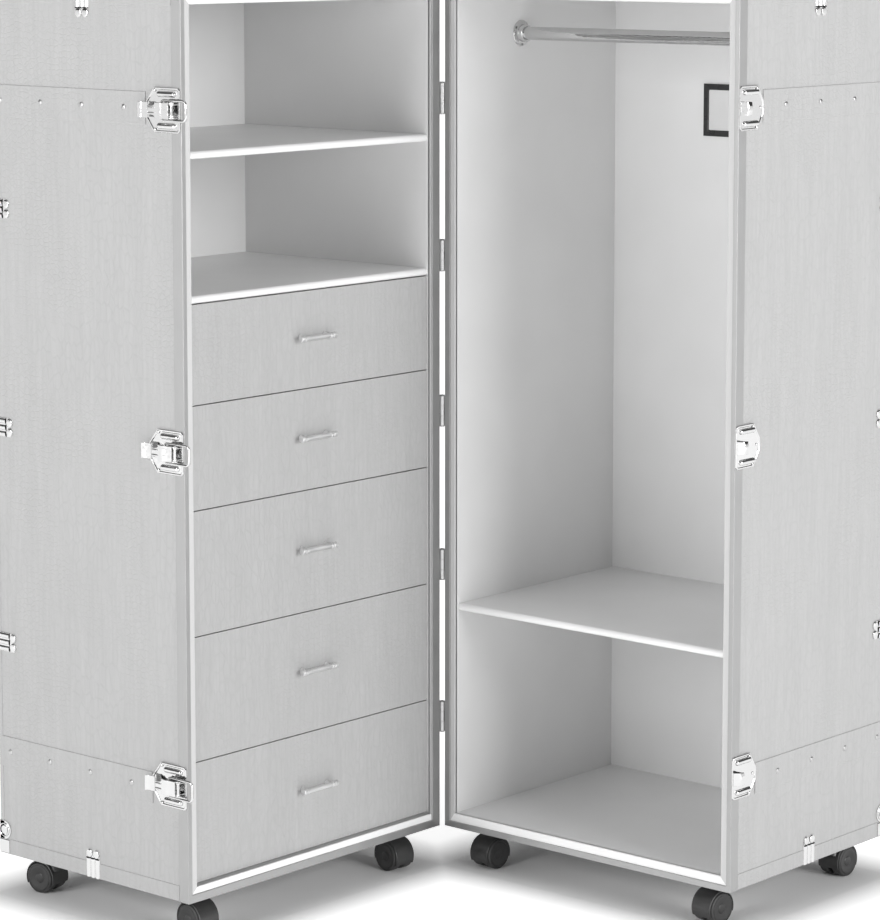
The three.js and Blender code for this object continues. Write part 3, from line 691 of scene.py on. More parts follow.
def planPath(start):
    # round the two back edges, from the rim on one side to the rim on the other
    radius = shellSetup["cornerRadius"]
    bends = [(math.sin(a), math.cos(a)) for a in quarter(shellSetup["cornerSteps"])[1:-1]]
    x, y = wide - radius, deep - radius
    first = [((radius - radius * cos, y + radius * sin), (-cos, sin)) for sin, cos in bends]
    second = [((x + radius * sin, y + radius * cos), (sin, cos)) for sin, cos in bends]
    return [
        ((0, start), (-1, 0)), ((0, y), (-1, 0)), *first, ((radius, deep), (0, 1)),
        ((x, deep), (0, 1)), *second, ((wide, y), (1, 0)), ((wide, start), (1, 0)),
    ]


def makeBindings(side):
    setup, radius, sink = bindingSetup, shellSetup["cornerRadius"], shellSetup["sink"]
    proud, edge, width, start = setup["proud"], setup["edgeWidth"], setup["width"], setup["start"]
    parts = [
        stripAround(planPath(start), low, high, proud)
        for low, high in ((-proud, width), (tall - width, tall + proud))
    ]
    # the same strips turned under the bottom and over the top
    half = proud / 2
    for z0, z1 in ((-proud, 1), (tall - 1, tall + proud)):
        for low, high in (
            ((-half, start, z0), (width, deep + half, z1)),
            ((wide - width, start, z0), (wide + half, deep + half, z1)),
            ((width, deep - width, z0), (wide - width, deep + half, z1)),
        ):
            parts.append(block(low, high, setup["round"]))

    def edgeSection(leg):
        return [(leg, -sink), (leg, proud - edge), (leg - edge, proud)]

    # upright strips down the two back edges, rounded over
    for x, out in ((0, -1), (wide, 1)):
        sideLeg = [(x + out * n, deep - s) for s, n in edgeSection(setup["uprightLeg"])]
        round = radius + proud
        corner = [
            (x - out * radius + out * round * math.cos(a), deep - radius + round * math.sin(a))
            for a in quarter(6)
        ]
        backLeg = [(x - out * s, deep + n) for s, n in reversed(edgeSection(width))]
        outline = sideLeg + corner + backLeg
        parts.append(solid([[(px, py, z) for px, py in outline] for z in (width, tall - width)]))
    finishPiece(side + "_bindings", gathered(parts), *halves[side], [leathercloth, cutEdgeAndShade], slot="covering")


def makeStraps(side):
    place, body = halves[side]
    setup = strapSetup
    proud, half = setup["proud"], setup["width"] / 2
    first, last, inset = setup["nailStart"], deep - setup["nailInset"], 2 * setup["nailInset"]
    walls = (
        ((-proud, first), (-proud, last), (-1, 0, 0)),
        ((wide + proud, first), (wide + proud, last), (1, 0, 0)),
        ((inset, deep + proud), (wide - inset, deep + proud), (0, 1, 0)),
    )
    parts, seats, runs = [], [], []
    for share in setup["shares"]:
        middle = share * tall
        parts.append(stripAround(planPath(setup["inset"][side]), middle - half, middle + half, proud))
        for start, end, outward in walls:
            runs.append((len(seats), len(seats) + 1))
            seats += [seated(place, (x, y, middle), outward) for x, y in (start, end)]
    finishPiece(side + "_straps", gathered(parts), place, body, [leathercloth, cutEdgeAndShade], slot="covering")
    grown(side + "_strap_nails", nailTree, seats, {
        "Spacing": setup["nailSpacing"] * metre,
        "Head radius": setup["nailRadius"] * metre,
        "Head height": setup["nailHeight"] * metre,
        "Finish": nickel,
    }, body, runs)


# ---- edging: aluminium channel folded over the rim, with mitred corners
edgingSetup = {
    "clear": 0.3, "sheet": 1.5, "face": 6.8, "outerLeg": 21, "bend": 0.8, "cornerRound": 1.2,
    "innerLeg": {"right": 7.8, "left": 12.4},
    "hingeFace": {"right": 9.4, "left": 17.2},
    "endFace": {"right": 8.6, "left": 11.4},
}


def edgingSection(side):
    # distance out from the wall and setback from the rim
    setup, out = edgingSetup, trunk["edgingProud"]
    face, bend, sheet, innerLeg = setup["face"], setup["bend"], setup["sheet"], setup["innerLeg"][side]
    return [
        (out, setup["outerLeg"]), *arc((out - bend, bend), bend, 0, -90, 6),
        *arc((-face + bend, bend), bend, -90, -180, 6), (-face, innerLeg), (-face + sheet, innerLeg),
        (-face + sheet, sheet), (setup["clear"], sheet), (setup["clear"], setup["outerLeg"]),
    ]


def rimWidths(side, outward):
    # the face is widest along the hinges, and wider along the top and bottom than on the latch side
    setup = edgingSetup
    return (setup["hingeFace"][side] if outward < 0 else setup["face"]), setup["endFace"][side]


def widened(n, width):
    return n if n > 0 else n * width / edgingSetup["face"]


# the corners of the rim and the way out from each, along u and z
rimCorners = (((0, 0), (-1, -1)), ((wide, 0), (1, -1)), ((wide, tall), (1, 1)), ((0, tall), (-1, 1)))


def makeEdging(side):
    proud = trunk["edgingProud"]
    rings = []
    for (u, z), (du, dz) in rimCorners:
        widthU, widthZ = rimWidths(side, du)
        rings.append([
            (u + widened(n, widthU) * du, v, z + widened(n, widthZ) * dz) for n, v in edgingSection(side)
        ])

    def outerCorner(edge):
        return all(
            v.co.y >= 0
            and abs(abs(v.co.x - wide / 2) - wide / 2 - proud) < near
            and abs(abs(v.co.z - tall / 2) - tall / 2 - proud) < near
            for v in edge.verts
        )

    bm = bevelled(looped(rings), edgingSetup["cornerRound"], 3, 60, outerCorner)
    finishPiece(side + "_rim_edging", bm, *halves[side], [aluminium], (side + "_edging",), "edging")


# ---- lining: laminate boards on every inner wall
liningSetup = {
    "clear": 0.3, "side": 8.7, "floor": 12.2, "back": 3.2, "front": 5.0, "round": 0.7, "outerRound": 0.5,
    "lipFront": 1.4, "lipDepth": 6, "lipRound": 1.2, "lipGap": 0.1,
    "runnerWidth": 11, "runnerHeight": 9, "runnerRound": 1.0, "runnerRoom": 0.6,
    "drawerShares": (0.0015, 0.1426, 0.2874, 0.4318, 0.5515),
    "shelfShares": {"left_upper_shelf": 0.837, "left_lower_shelf": 0.675, "right_shelf": 0.2625},
}
shelfSetup = {"thick": 12, "setback": 10, "clear": 0.3}
drawerSetup = {
    "setback": 10, "front": 14, "gap": 0.9, "side": 9, "bottom": 5, "sideClear": 1.2,
    "drop": 22, "backRoom": 14, "round": 1.3, "sideRound": 0.8, "runnerGap": 0.3, "joint": 0.1, "tongue": 0.5,
}
insideEdge = trunk["wall"] + liningSetup["clear"]
liningFace = insideEdge + liningSetup["side"]
floorTop = insideEdge + liningSetup["floor"]
insideHeight = tall - 2 * floorTop
insideBack = deep - trunk["backWall"] - liningSetup["clear"] - liningSetup["back"]
drawerLines = [floorTop + share * insideHeight for share in liningSetup["drawerShares"]]
shelfTops = {name: floorTop + share * insideHeight for name, share in liningSetup["shelfShares"].items()}


def makeLining(side):
    setup = liningSetup
    parts = [tray(
        (insideEdge, setup["front"], insideEdge),
        (wide - insideEdge, deep - trunk["backWall"] - setup["clear"], tall - insideEdge),
        (liningFace, 0, floorTop), (wide - liningFace, insideBack, tall - floorTop),
        setup["outerRound"], setup["round"],
    )]
    if side == "left":
        start = drawerSetup["setback"] + drawerSetup["front"] + setup["runnerRoom"]
        inner = liningFace + setup["runnerWidth"]
        for line in drawerLines:
            low = line + drawerSetup["gap"]
            for x0, x1 in ((liningFace - 1, inner), (wide - inner, wide - liningFace + 1)):
                parts.append(block(
                    (x0, start, low), (x1, insideBack + 1, low + setup["runnerHeight"]), setup["runnerRound"]
                ))
    boards, lip = gathered(parts), makeLip(side)
    finishPiece(side + "_lining_boards", boards, *halves[side], [laminate], (side + "_lining",), "lining")
    finishPiece(side + "_lining_lip", lip, *halves[side], [shadedLipping, lipping], slot="lining")


def makeLip(side):
    # edge strip on the front of the boards, from the edging's face inwards: white across, and on the upright
    # sides the same strip painted a shade darker, as painted shade
    setup = liningSetup
    front, back, round = setup["lipFront"], setup["lipFront"] + setup["lipDepth"], setup["lipRound"]
    # share of the strip's width, and setback
    section = [
        (0.0, back), (0.0, front + 0.3), (0.3, front), (1 - round / 8.7, front),
        (1 - round / 26, front + round / 3), (1.0, front + round), (1.0, back),
    ]
    rings = []
    for (u, z), (du, dz) in rimCorners:
        startU, startZ = (width + setup["lipGap"] for width in rimWidths(side, du))
        acrossU, acrossZ = liningFace - startU, floorTop - startZ
        rings.append([
            (u - du * (startU + share * acrossU), v, z - dz * (startZ + share * acrossZ))
            for share, v in section
        ])
    bm = looped(rings)
    for face in bm.faces:
        centre = face.calc_center_median()
        # the upright sides take the painted shade (first finish), the top and bottom the white
        face.material_index = int(min(centre.x, wide - centre.x) > min(centre.z, tall - centre.z))
    return bm


def makeShelves():
    setback, half, clear = shelfSetup["setback"], shelfSetup["thick"] / 2, shelfSetup["clear"]
    for name, top in shelfTops.items():
        middle = top - half
        nose = arc((setback + half, middle), half, 270, 90, 10)
        outline = [(insideBack - clear, middle - half), (insideBack - clear, middle + half), *nose[::-1]]
        bm = solid([[(u, v, z) for v, z in outline] for u in (liningFace + clear, wide - liningFace - clear)])
        for face in bm.faces:
            if face.calc_center_median().y < setback + half and abs(face.normal.x) < 0.5:
                face.material_index = 1
        finishPiece(name + "_board", bm, *halves[name.split("_")[0]], [laminate, lipping], (name,), "lining")


# ---- drawers: leathercloth fronts on laminate boxes, with turned bar pulls
pullSetup = {
    "length": 80, "pitch": 56, "radius": 4.1, "endRadius": 5.1, "ringRadius": 4.9, "groove": 3.6,
    "reach": 12, "post": 3.3, "foot": 5.4, "lift": 4, "barSides": 28, "postSides": 22,
}


def makePull():
    # bar with a crowned end cap and one ring at each end, set off by grooves, on two footed posts
    setup = pullSetup
    end = setup["length"] / 2
    cap, ring, groove, reach = setup["endRadius"], setup["ringRadius"], setup["groove"], setup["reach"]
    crown = [(cap - 1 + math.sin(a), end - 1 + math.cos(a)) for a in quarter(4)]
    side = [
        (0, end), *crown, (cap, end - 6.4), (cap - 0.4, end - 7), (groove, end - 7.4), (groove, end - 8.6),
        (ring - 0.4, end - 9), (ring, end - 9.4), (ring, end - 11.6), (ring - 0.4, end - 12),
        (groove, end - 12.4), (groove, end - 13.2), (setup["radius"], end - 13.8),
    ]
    bar = turned(side + [(r, -h) for r, h in side[::-1]], setup["barSides"])
    parts = [(bar, shifted(0, 0, reach) @ alongX)]
    foot, stalk = setup["foot"], setup["post"]
    for x in (-setup["pitch"] / 2, setup["pitch"] / 2):
        post = turned([
            (0, 0.2), (foot - 0.4, 0.2), (foot, 0.6), (foot, 1.0), (foot - 0.8, 1.7), (stalk + 0.9, 2.4),
            (stalk, 3.8), (stalk - 0.3, 6), (stalk, 9), (stalk, reach), (0, reach),
        ], setup["postSides"])
        parts.append((post, shifted(x, 0, 0)))
    return gathered(parts)


def makeDrawers():
    setup = drawerSetup
    gap, t, joint, bevel = setup["gap"], setup["side"], setup["joint"], setup["sideRound"]
    faceBack = setup["setback"] + setup["front"]
    lines = drawerLines + [shelfTops["left_lower_shelf"] - shelfSetup["thick"]]
    for i in range(5):
        low, high = lines[i], lines[i + 1]
        body = "drawer_%d" % (i + 1)
        edge = liningFace + gap
        corners = (edge, setup["setback"], low + gap), (wide - edge, faceBack, high - gap)
        panel = block(*corners, setup["round"], 3)
        finishPiece("drawer_front_%d" % (i + 1), panel, leftPlace, body, [leathercloth], slot="covering")
        x0 = liningFace + setup["sideClear"]
        x1 = wide - x0
        y0, y1 = faceBack - setup["tongue"], insideBack - setup["backRoom"]
        z0, z1 = low + liningSetup["runnerHeight"] + setup["runnerGap"] + gap, high - setup["drop"]
        inner0, inner1 = x0 + t - joint, x1 - t + joint
        parts = [
            block((x0, y0, z0), (x0 + t, y1, z1), bevel),
            block((x1 - t, y0, z0), (x1, y1, z1), bevel),
            block((inner0, y1 - t, z0), (inner1, y1, z1 - 1), bevel),
            block((inner0, y0, z0), (inner1, y0 + t, z1 - 1), bevel),
            block((inner0, y0 + t - joint, z0), (inner1, y1 - t + joint, z0 + setup["bottom"]), slot=1),
        ]
        finishPiece("drawer_box_%d" % (i + 1), gathered(parts), leftPlace, body, [laminate, lipping],
                    (body,), "lining")
        middle = (low + high) / 2 + pullSetup["lift"]
        onFront = basis((wide / 2, setup["setback"], middle), (1, 0, 0), (0, 0, 1), (0, -1, 0))
        finishPiece("drawer_bar_pull_%d" % (i + 1), makePull(), leftPlace @ onFront, body, [brushedNickel],
                    ("drawer_pull_%d" % (i + 1),), "nickel", False)


for side in halves:
    makeShell(side)
    makeBindings(side)
    makeStraps(side)
    makeEdging(side)
    makeLining(side)
print("casings, bindings, straps, edgings and linings made")
makeShelves()
makeDrawers()
print("shelves and drawers made")

# ---- hanging rail: chromed tube between two flanged sockets
railSetup = {
    "radius": 11, "sheet": 1.4, "round": 0.3, "setback": 170, "share": 0.955,
    "flange": 21.5, "flangeThick": 3,
    "collar": 14.3, "length": 13, "clear": 0.3, "tubeSides": 40, "socketSides": 44,
    "screwRing": 18.0, "screwSeat": 2.3, "screwTurn": 0.5, "screwStep": 2.0944,
}


def makeRail():
    setup = railSetup
    place, body = halves["right"]
    height = floorTop + setup["share"] * insideHeight
    radius, clear, setback = setup["radius"], setup["clear"], setup["setback"]
    flange, thick, collar, length = setup["flange"], setup["flangeThick"], setup["collar"], setup["length"]
    inner, outer = liningFace + clear, wide - liningFace - clear
    half = (outer - inner) / 2 - thick - clear
    tube = rod(radius, -half, half, setup["round"], setup["tubeSides"], radius - setup["sheet"])
    across = place @ shifted(wide / 2, setback, height) @ alongX
    finishPiece("hanging_rail_tube", tube, across, body, [chrome], ("hanging_rail",), "chrome", False)
    for name, x, sign in (("rail_socket_hinge_side", inner, 1), ("rail_socket_latch_side", outer, -1)):
        socket = turned([
            (0, 0), (flange, 0), (flange, 0.9), (flange - 0.7, 1.6), (flange - 2.5, 2.0),
            (collar + 1.6, thick + 0.2), (collar + 0.3, thick + 1.0), (collar, thick + 2.2),
            (collar, length - 1.2), (collar - 0.4, length - 0.3), (collar - 1.2, length),
            (radius + clear, length), (radius + clear, thick), (0, thick),
        ], setup["socketSides"])
        onWall = place @ basis((x, setback, height), (0, 1, 0), (0, 0, sign), (sign, 0, 0))
        finishPiece(name + "_cup", socket, onWall, body, [chrome], (name,), "chrome", False)
        turns = [setup["screwTurn"] + setup["screwStep"] * i for i in range(3)]
        ring, seat = setup["screwRing"], setup["screwSeat"]
        fasten("screw", body, onWall, [(ring * math.cos(a), ring * math.sin(a), seat) for a in turns])


makeRail()
print("rail made")

# ---- hinges: two leaves with rolled knuckles on a headed pin
hingeSetup = {
    "shares": (0.132, 0.316, 0.5, 0.684, 0.868), "length": 50, "leaf": 26, "sheet": 1.8, "leafRound": 0.35,
    "barrel": 4.7, "pin": 2.4, "corner": 5, "rise": 2.1, "knuckleRound": 0.45, "knuckleSides": 26,
    "pinSides": 24, "gap": 0.5, "screws": ((14, -17), (14, 17), (19.5, 0)),
}


def knuckle(bore, low, high):
    setup = hingeSetup
    return rod(setup["barrel"], low, high, setup["knuckleRound"], setup["knuckleSides"], bore)


def hingeLeafPlate(notches):
    # outline in setback and height, from the rim, with room cut for the other leaf's knuckles
    setup = hingeSetup
    half, reach, corner = setup["length"] / 2, setup["leaf"], setup["corner"]
    notchDepth = setup["barrel"] + setup["gap"]
    outline = [
        (0.0, -half), *arc((reach - corner, -half + corner), corner, -90, 0, 5),
        *arc((reach - corner, half - corner), corner, 0, 90, 5), (0.0, half),
    ]
    for z0, z1 in notches:
        outline += [(0.0, z1)] if z1 < half else []
        outline += [(notchDepth, z1), (notchDepth, z0)]
        outline += [(0.0, z0)] if z0 > -half else []
    return slab(outline, setup["rise"], setup["rise"] + setup["sheet"], setup["leafRound"])


def makeHinges():
    setup = hingeSetup
    half, third, gap, pin = setup["length"] / 2, setup["length"] / 6, setup["gap"], setup["pin"]
    about = basis((-rimGap, 0, pinProud), (1, 0, 0), (0, 0, -1), (0, 1, 0))
    top = setup["rise"] + setup["sheet"]
    # radius, and height over the end of the knuckles
    pinHead = [(4.4, 0.3), (4.4, 0.4), (3.9, 1.3), (2.6, 1.8), (0, 1.8)]
    for side, (place, body) in halves.items():
        for i, share in enumerate(setup["shares"]):
            onWall = place @ shifted(0, 0, share * tall) @ hingeWall
            if side == "right":
                bore = pin + 0.3
                parts = [
                    hingeLeafPlate([(-third - gap, third + gap)]),
                    (knuckle(bore, -half, -third), about), (knuckle(bore, third, half), about),
                ]
            else:
                headed = turned(
                    [(r, -half - h) for r, h in pinHead[::-1]] + [(pin, -half - 0.3), (pin, half + 0.3)]
                    + [(r, half + h) for r, h in pinHead], setup["pinSides"]
                )
                parts = [
                    hingeLeafPlate([(third, half), (-half, -third)]),
                    (knuckle(pin - 0.4, -third, third), about), (headed, about),
                ]
            finishPiece("%s_hinge_plate_%d" % (side, i + 1), gathered(parts), onWall, body, [nickel],
                        ("%s_hinge_leaf_%d" % (side, i + 1),), "nickel")
            fasten("screw", body, onWall, [(x, y, top) for x, y in setup["screws"]])


makeHinges()
print("hinges made")

# ---- draw-bolt latches on the left half and their catches on the right
latchSetup = {
    "shares": (0.1286, 0.5, 0.8714), "setback": 1.5, "length": 75,
    "halfHeight": 34, "noseHalf": 10, "shoulder": 0.74, "cut": 4,
    "beadSetback": 9, "beadLength": 40, "beadOffset": 24, "beadHalf": 4.6, "beadLow": 2.4, "beadRise": 4.0,
    "pivot": 13, "pivotHeight": 9.8, "cheekFace": 10.4, "cheek": 1.6, "ear": 3.2, "earLow": 2.6,
    "earOffset": 8.9, "pinRadius": 2.2, "pinRound": 0.4, "pinSides": 20, "pinHalf": 12.6,
    "seatHalf": (3, 4), "seatLow": 2.4,
    "bailPivot": 22, "wire": 1.9, "wireSides": 14, "bailHalf": 15.2, "bailReach": 53, "bailCorner": 6.5,
    # how far in from the edge of the plate, and height over the wall
    "border": ((0.0, 0.3), (0.0, 3.0), (0.6, 3.6), (2.4, 3.6), (3.2, 3.1), (3.8, 2.5)),
}
# the arm of the lever: distance along from the pivot, and height over its flat part
leverSetup = {
    "arm": (
        (2.4, 0.0), (10, 0.0), (14, 0.25), (17, 1.1), (20, 1.7), (24, 1.7), (27, 1.1), (30, 0.25), (33, 0.0),
        (38, 0.0), (42, 0.0), (44.6, -0.2), (47.2, -2.1), (49.4, -3.9), (51.6, -4.2), (61, -4.2), (64, -3.4),
        (66.4, -1.6), (68, 0.0),
    ),
    "over": 5.4, "under": 3.8, "waist": (29, 50), "waistRamp": 5, "waistShare": 0.46,
    "ribs": (-4, 4), "ribEnds": (33, 43), "ribHalf": 1.5, "ribLow": 4.8, "ribRise": 2.3, "notch": 2.5,
}
catchSetup = {
    "setback": 1, "length": 62, "hookHalf": 10.5, "creases": (-5, 0, 5), "domeDrop": 2.6, "domeLow": 12.4,
    "domeRise": 2.3,
    "hook": (
        (2.4, 2.9), (1.3, 4.6), (4.4, 9.0), (7.6, 12.2), (9.4, 13.9), (11.4, 14.7), (17.6, 14.7),
        (19.0, 14.3), (19.6, 13.5), (19.3, 12.6), (18.6, 12.3), (16.0, 12.3), (14.9, 11.6), (14.5, 10.4),
        (14.5, 2.9),
    ),
}


def hexOutline(start, length, inset):
    setup = latchSetup
    high, nose = setup["halfHeight"] - inset, setup["noseHalf"] - inset * 0.5
    x0, x1 = start + inset, start + length - inset
    shoulder = start + setup["shoulder"] * length - inset * 0.3
    cut = setup["cut"] - inset * 0.3
    return [
        (x0, -high + cut), (x0 + cut, -high), (shoulder, -high), (x1, -nose),
        (x1, nose), (shoulder, high), (x0 + cut, high), (x0, high - cut),
    ]


def pressedRib(x0, x1, y, halfWidth, low, rise, steps):
    # a rib with round ends, centred on x0 and x1, and a round back
    rings = []
    for a in quarter(steps):
        radius = halfWidth * math.cos(a)
        ring = arc((x1, y), radius, -90, 90, steps) + arc((x0, y), radius, 90, 270, steps)
        rings.append([(px, py, low + rise * math.sin(a)) for px, py in ring])
    return solid(rings)


def beadedPlate(start, length):
    # a pressed plate: a raised rounded border round a sunk field, with a bead above and below
    setup = latchSetup
    half = setup["beadHalf"]
    x0 = start + setup["beadSetback"] + half
    x1 = start + setup["beadSetback"] + setup["beadLength"] - half
    plate = solid([[(x, y, n) for x, y in hexOutline(start, length, inset)] for inset, n in setup["border"]])
    return [plate] + [
        pressedRib(x0, x1, y, half, setup["beadLow"], setup["beadRise"], 8)
        for y in (-setup["beadOffset"], setup["beadOffset"])
    ]


def profileBlock(outline, halfWidth, round, segments=2):
    # an outline in setback and distance out, given width along the height
    bm = bevelled(slab(outline, -halfWidth, halfWidth), round, segments, 40)
    bm.transform(basis((0, 0, 0), (1, 0, 0), (0, 0, 1), (0, -1, 0)))
    bmesh.ops.recalc_face_normals(bm, faces=bm.faces)
    return bm


def makeLatchPlate():
    setup = latchSetup
    pivot, up, low, ear = setup["pivot"], setup["pivotHeight"], setup["earLow"], setup["ear"]
    half, (x, y) = setup["pinHalf"], setup["seatHalf"]
    parts = beadedPlate(setup["setback"], setup["length"])
    outline = [(pivot - ear, low), *arc((pivot, up), ear, 180, 0, 12), (pivot + ear, low)]
    for offset in (-setup["earOffset"], setup["earOffset"]):
        parts.append((profileBlock(outline, 0.9, 0.25), shifted(0, offset, 0)))
    pin = rod(setup["pinRadius"], -half, half, setup["pinRound"], setup["pinSides"])
    parts.append((pin, shifted(pivot, 0, up) @ alongY))
    seat = block((-x, -y, setup["seatLow"]), (x, y, up - setup["wire"] - 0.3), 0.6)
    parts.append((seat, shifted(pivot + setup["bailPivot"], 0, 0)))
    return gathered(parts)


def makeLever():
    # drawn about its pin
    setup, shape = latchSetup, leverSetup
    bar, notch, over, under = setup["bailPivot"], shape["notch"], shape["over"], shape["under"]
    outline = [(t, over + h) for t, h in shape["arm"]] + [(t, under + h) for t, h in shape["arm"][::-1]]
    web = profileBlock(outline[::-1], setup["cheekFace"] + setup["cheek"], 0.55, 3)
    first = shape["arm"][0][0]
    cheek = [
        (first, 4.6), *arc((0, 0), math.hypot(under, first), math.degrees(math.atan2(under, first)), 270, 14),
        (5.2, -5.2), (11.6, -2.6), (bar - notch, -2.6), *arc((bar, 0), notch, 180, 0, 10),
        (bar + notch, -2.6), (bar + 5.2, -2.6), (bar + 7.5, -0.6), (bar + 10.4, 4.6),
    ]
    parts = [web]
    for y in (-(setup["cheekFace"] + 0.8), setup["cheekFace"] + 0.8):
        parts.append((profileBlock(cheek[::-1], 0.8, 0.3), shifted(0, y, 0)))
    # the arm is waisted between the bail's bar and the thumb tab, with two pressed ribs along it
    (start, end), ramp = shape["waist"], shape["waistRamp"]
    for vertex in web.verts:
        t = vertex.co.x
        narrow = min(max((t - start) / ramp, 0), 1) * min(max((end - t) / ramp, 0), 1)
        vertex.co.y *= 1 - shape["waistShare"] * narrow
    for y in shape["ribs"]:
        parts.append(pressedRib(*shape["ribEnds"], y, shape["ribHalf"], shape["ribLow"], shape["ribRise"], 6))
    return gathered(parts)


def makeBail():
    setup = latchSetup
    half = setup["bailHalf"]
    outline = roundedOutline((-setup["bailReach"], -half), (0, half), setup["bailCorner"], 6)
    return wire([(x, y, 0) for x, y in outline], setup["wire"], setup["wireSides"])


def makeCatch():
    setup = catchSetup
    half = setup["hookHalf"]
    dome = profileBlock(setup["hook"][::-1], half, 0.9, 3)
    for y in setup["creases"]:
        bmesh.ops.bisect_plane(
            dome, geom=dome.verts[:] + dome.edges[:] + dome.faces[:], plane_co=(0, y, 0), plane_no=(0, 1, 0)
        )
    # the hook's back is domed: it falls away towards both ends
    for vertex in dome.verts:
        above = max(vertex.co.z - setup["domeLow"], 0) / setup["domeRise"]
        vertex.co.z -= setup["domeDrop"] * (vertex.co.y / half) ** 2 * above
    return gathered(beadedPlate(setup["setback"], setup["length"]) + [dome])


def plateSeats(start, length):
    # rivets at the nose and at the shoulders
    shoulder = start + latchSetup["shoulder"] * length - 2
    return [(start + length - 8.5, 0, 2.6), (shoulder, 29.6, 3.6), (shoulder, -29.6, 3.6)]


def makeLatches():
    setup = latchSetup
    for i, share in enumerate(setup["shares"]):
        onWall = shifted(0, 0, share * tall) @ latchWall
        left, right = leftPlace @ onWall, rightPlace @ onWall
        pivot = left @ shifted(setup["pivot"], 0, setup["pivotHeight"])
        bar = pivot @ shifted(setup["bailPivot"], 0, 0)
        lever, bail = "latch_lever_%d" % (i + 1), "latch_bail_%d" % (i + 1)
        for name, bm, place, body, node in (
            ("latch_base_%d", makeLatchPlate(), left, "left_half", "latch_plate_%d" % (i + 1)),
            ("latch_handle_%d", makeLever(), pivot, lever, lever),
            ("latch_loop_%d", makeBail(), bar, bail, bail),
            ("catch_base_%d", makeCatch(), right, "right_half", "latch_catch_%d" % (i + 1)),
        ):
            finishPiece(name % (i + 1), bm, place, body, [chrome], (node,), "chrome", node != bail)
        fasten("plateRivet", "left_half", left, plateSeats(setup["setback"], setup["length"])[1:])
        fasten("plateRivet", "right_half", right, plateSeats(catchSetup["setback"], catchSetup["length"]))


makeLatches()
print("latches and catches made")

# ---- edge clamps and edge clasps of chromed sheet, riveted over the corners of the casing
clampSetup = {
    "width": 31, "leg": 45, "ridges": (-10.4, 0, 10.4), "ridgeHalf": 4.3, "plate": 1.1, "ridgeRise": 2.9,
    "ridgeEnd": 29, "domeRadius": 7.6, "domeRise": 1.9, "domeShift": 7.7, "middle": 216,
    "shares": (0.25, 0.5, 0.75),
}
claspSetup = {
    "height": 38, "radius": 15, "reach": 10.2, "plate": 1.5, "stem": 11, "stemRise": 2.2, "domeRadius": 8.2,
    "domeRise": 2.0, "ring": 10.5, "ringWire": 1.3,
}
flatLow = 0.1  # where a sheet laid on the wall begins


def foldedStrip(section, length):
    # a section of width (x) and rise, folded over the edge between two walls: one leg runs down, one back
    bends = [((0, 0), (math.cos(a), math.sin(a))) for a in quarter(6)]
    return solid([
        [(x, y + rise * outward[0], z + rise * outward[1]) for x, rise in section]
        for (y, z), outward in (((0, -length), (1, 0)), *bends, ((-length, 0), (0, 1)))
    ])


def stripSection(half, rise, round=0.5):
    return [(-half, flatLow), (half, flatLow), (half, rise - round), (half - round, rise),
            (-half + round, rise), (-half, rise - round)]


def bothLegs(distance):
    # frames on the two walls, at a distance from the edge, with y away from the edge and z outwards
    return (
        basis((0, 0, -distance), (1, 0, 0), (0, 0, -1), (0, 1, 0)),
        basis((0, -distance, 0), (-1, 0, 0), (0, -1, 0), (0, 0, 1)),
    )


def disc(radius, rise):
    return turned([
        (0, flatLow), (radius, flatLow), (radius, rise - 0.5), (radius - 0.15, rise - 0.15),
        (radius - 0.5, rise), (0, rise),
    ], 32)


def dome(radius, low, rise):
    # a domed head with an undercut foot
    foot = 0.55
    profile = [(0, low), (radius - 0.9, low), (radius - 0.9, low + 0.35), (radius, low + foot)]
    profile += [(radius * math.cos(a), low + foot + (rise - foot) * math.sin(a)) for a in quarter(7)[1:-1]]
    return turned(profile + [(0, low + rise)], 28)


def makeClamp():
    # about the edge: a flanged strap with three ridges, and two domed heads at the end of each leg
    setup = clampSetup
    half, plate, end, w = setup["width"] / 2, setup["plate"], setup["ridgeEnd"], setup["ridgeHalf"]
    radius, shift = setup["domeRadius"], setup["domeShift"]
    parts = [foldedStrip(stripSection(half, plate), end + 2)]
    rise = setup["ridgeRise"] - plate + 0.5
    for x in setup["ridges"]:
        angles = [rightAngle * i / 5 for i in range(11)]
        back = [(x + w * math.cos(a), plate - 0.5 + rise * math.sin(a)) for a in angles]
        parts.append(foldedStrip([(x - w, flatLow), (x + w, flatLow), *back], end))
    for face in bothLegs(setup["leg"] - radius):
        for x in (-shift, shift):
            parts.append((disc(radius, plate), face @ shifted(x, 0, 0)))
            parts.append((dome(radius - 0.8, plate - 0.05, setup["domeRise"] - 0.1), face @ shifted(x, 0, 0)))
        low = setup["leg"] - radius - end
        parts.append((block((-half + 0.4, -low, 0.15), (half - 0.4, 0.5, plate), 0.3), face))
    return gathered(parts)


def makeClasp():
    # about the upright back edge: a round leaf on each wall, with a domed head in a ring, and a stem
    setup = claspSetup
    half, plate, reach, stem, ring = (setup[key] for key in ("radius", "plate", "reach", "stem", "ring"))
    leaf = [(half, -reach + 0.2), *arc((0, 0), half, 0, 180, 24), (-half, -reach + 0.2)]
    angles = [rightAngle * i / 9 for i in range(36)]
    circle = [(ring * math.cos(a), ring * math.sin(a), plate) for a in angles]
    parts = [
        foldedStrip(stripSection(half, plate), reach),
        (foldedStrip(stripSection(stem, setup["stemRise"], 0.9), 2 * stem),
         shifted(setup["height"] - stem - 0.5, 0, 0)),
    ]
    for face in bothLegs(reach):
        parts.append((slab(leaf, flatLow, plate, 0.4), face))
        parts.append((wire(circle, setup["ringWire"], 10), face))
        parts.append((dome(setup["domeRadius"] - 1, plate - 0.1, setup["domeRise"] - 0.7), face))
    return gathered(parts)


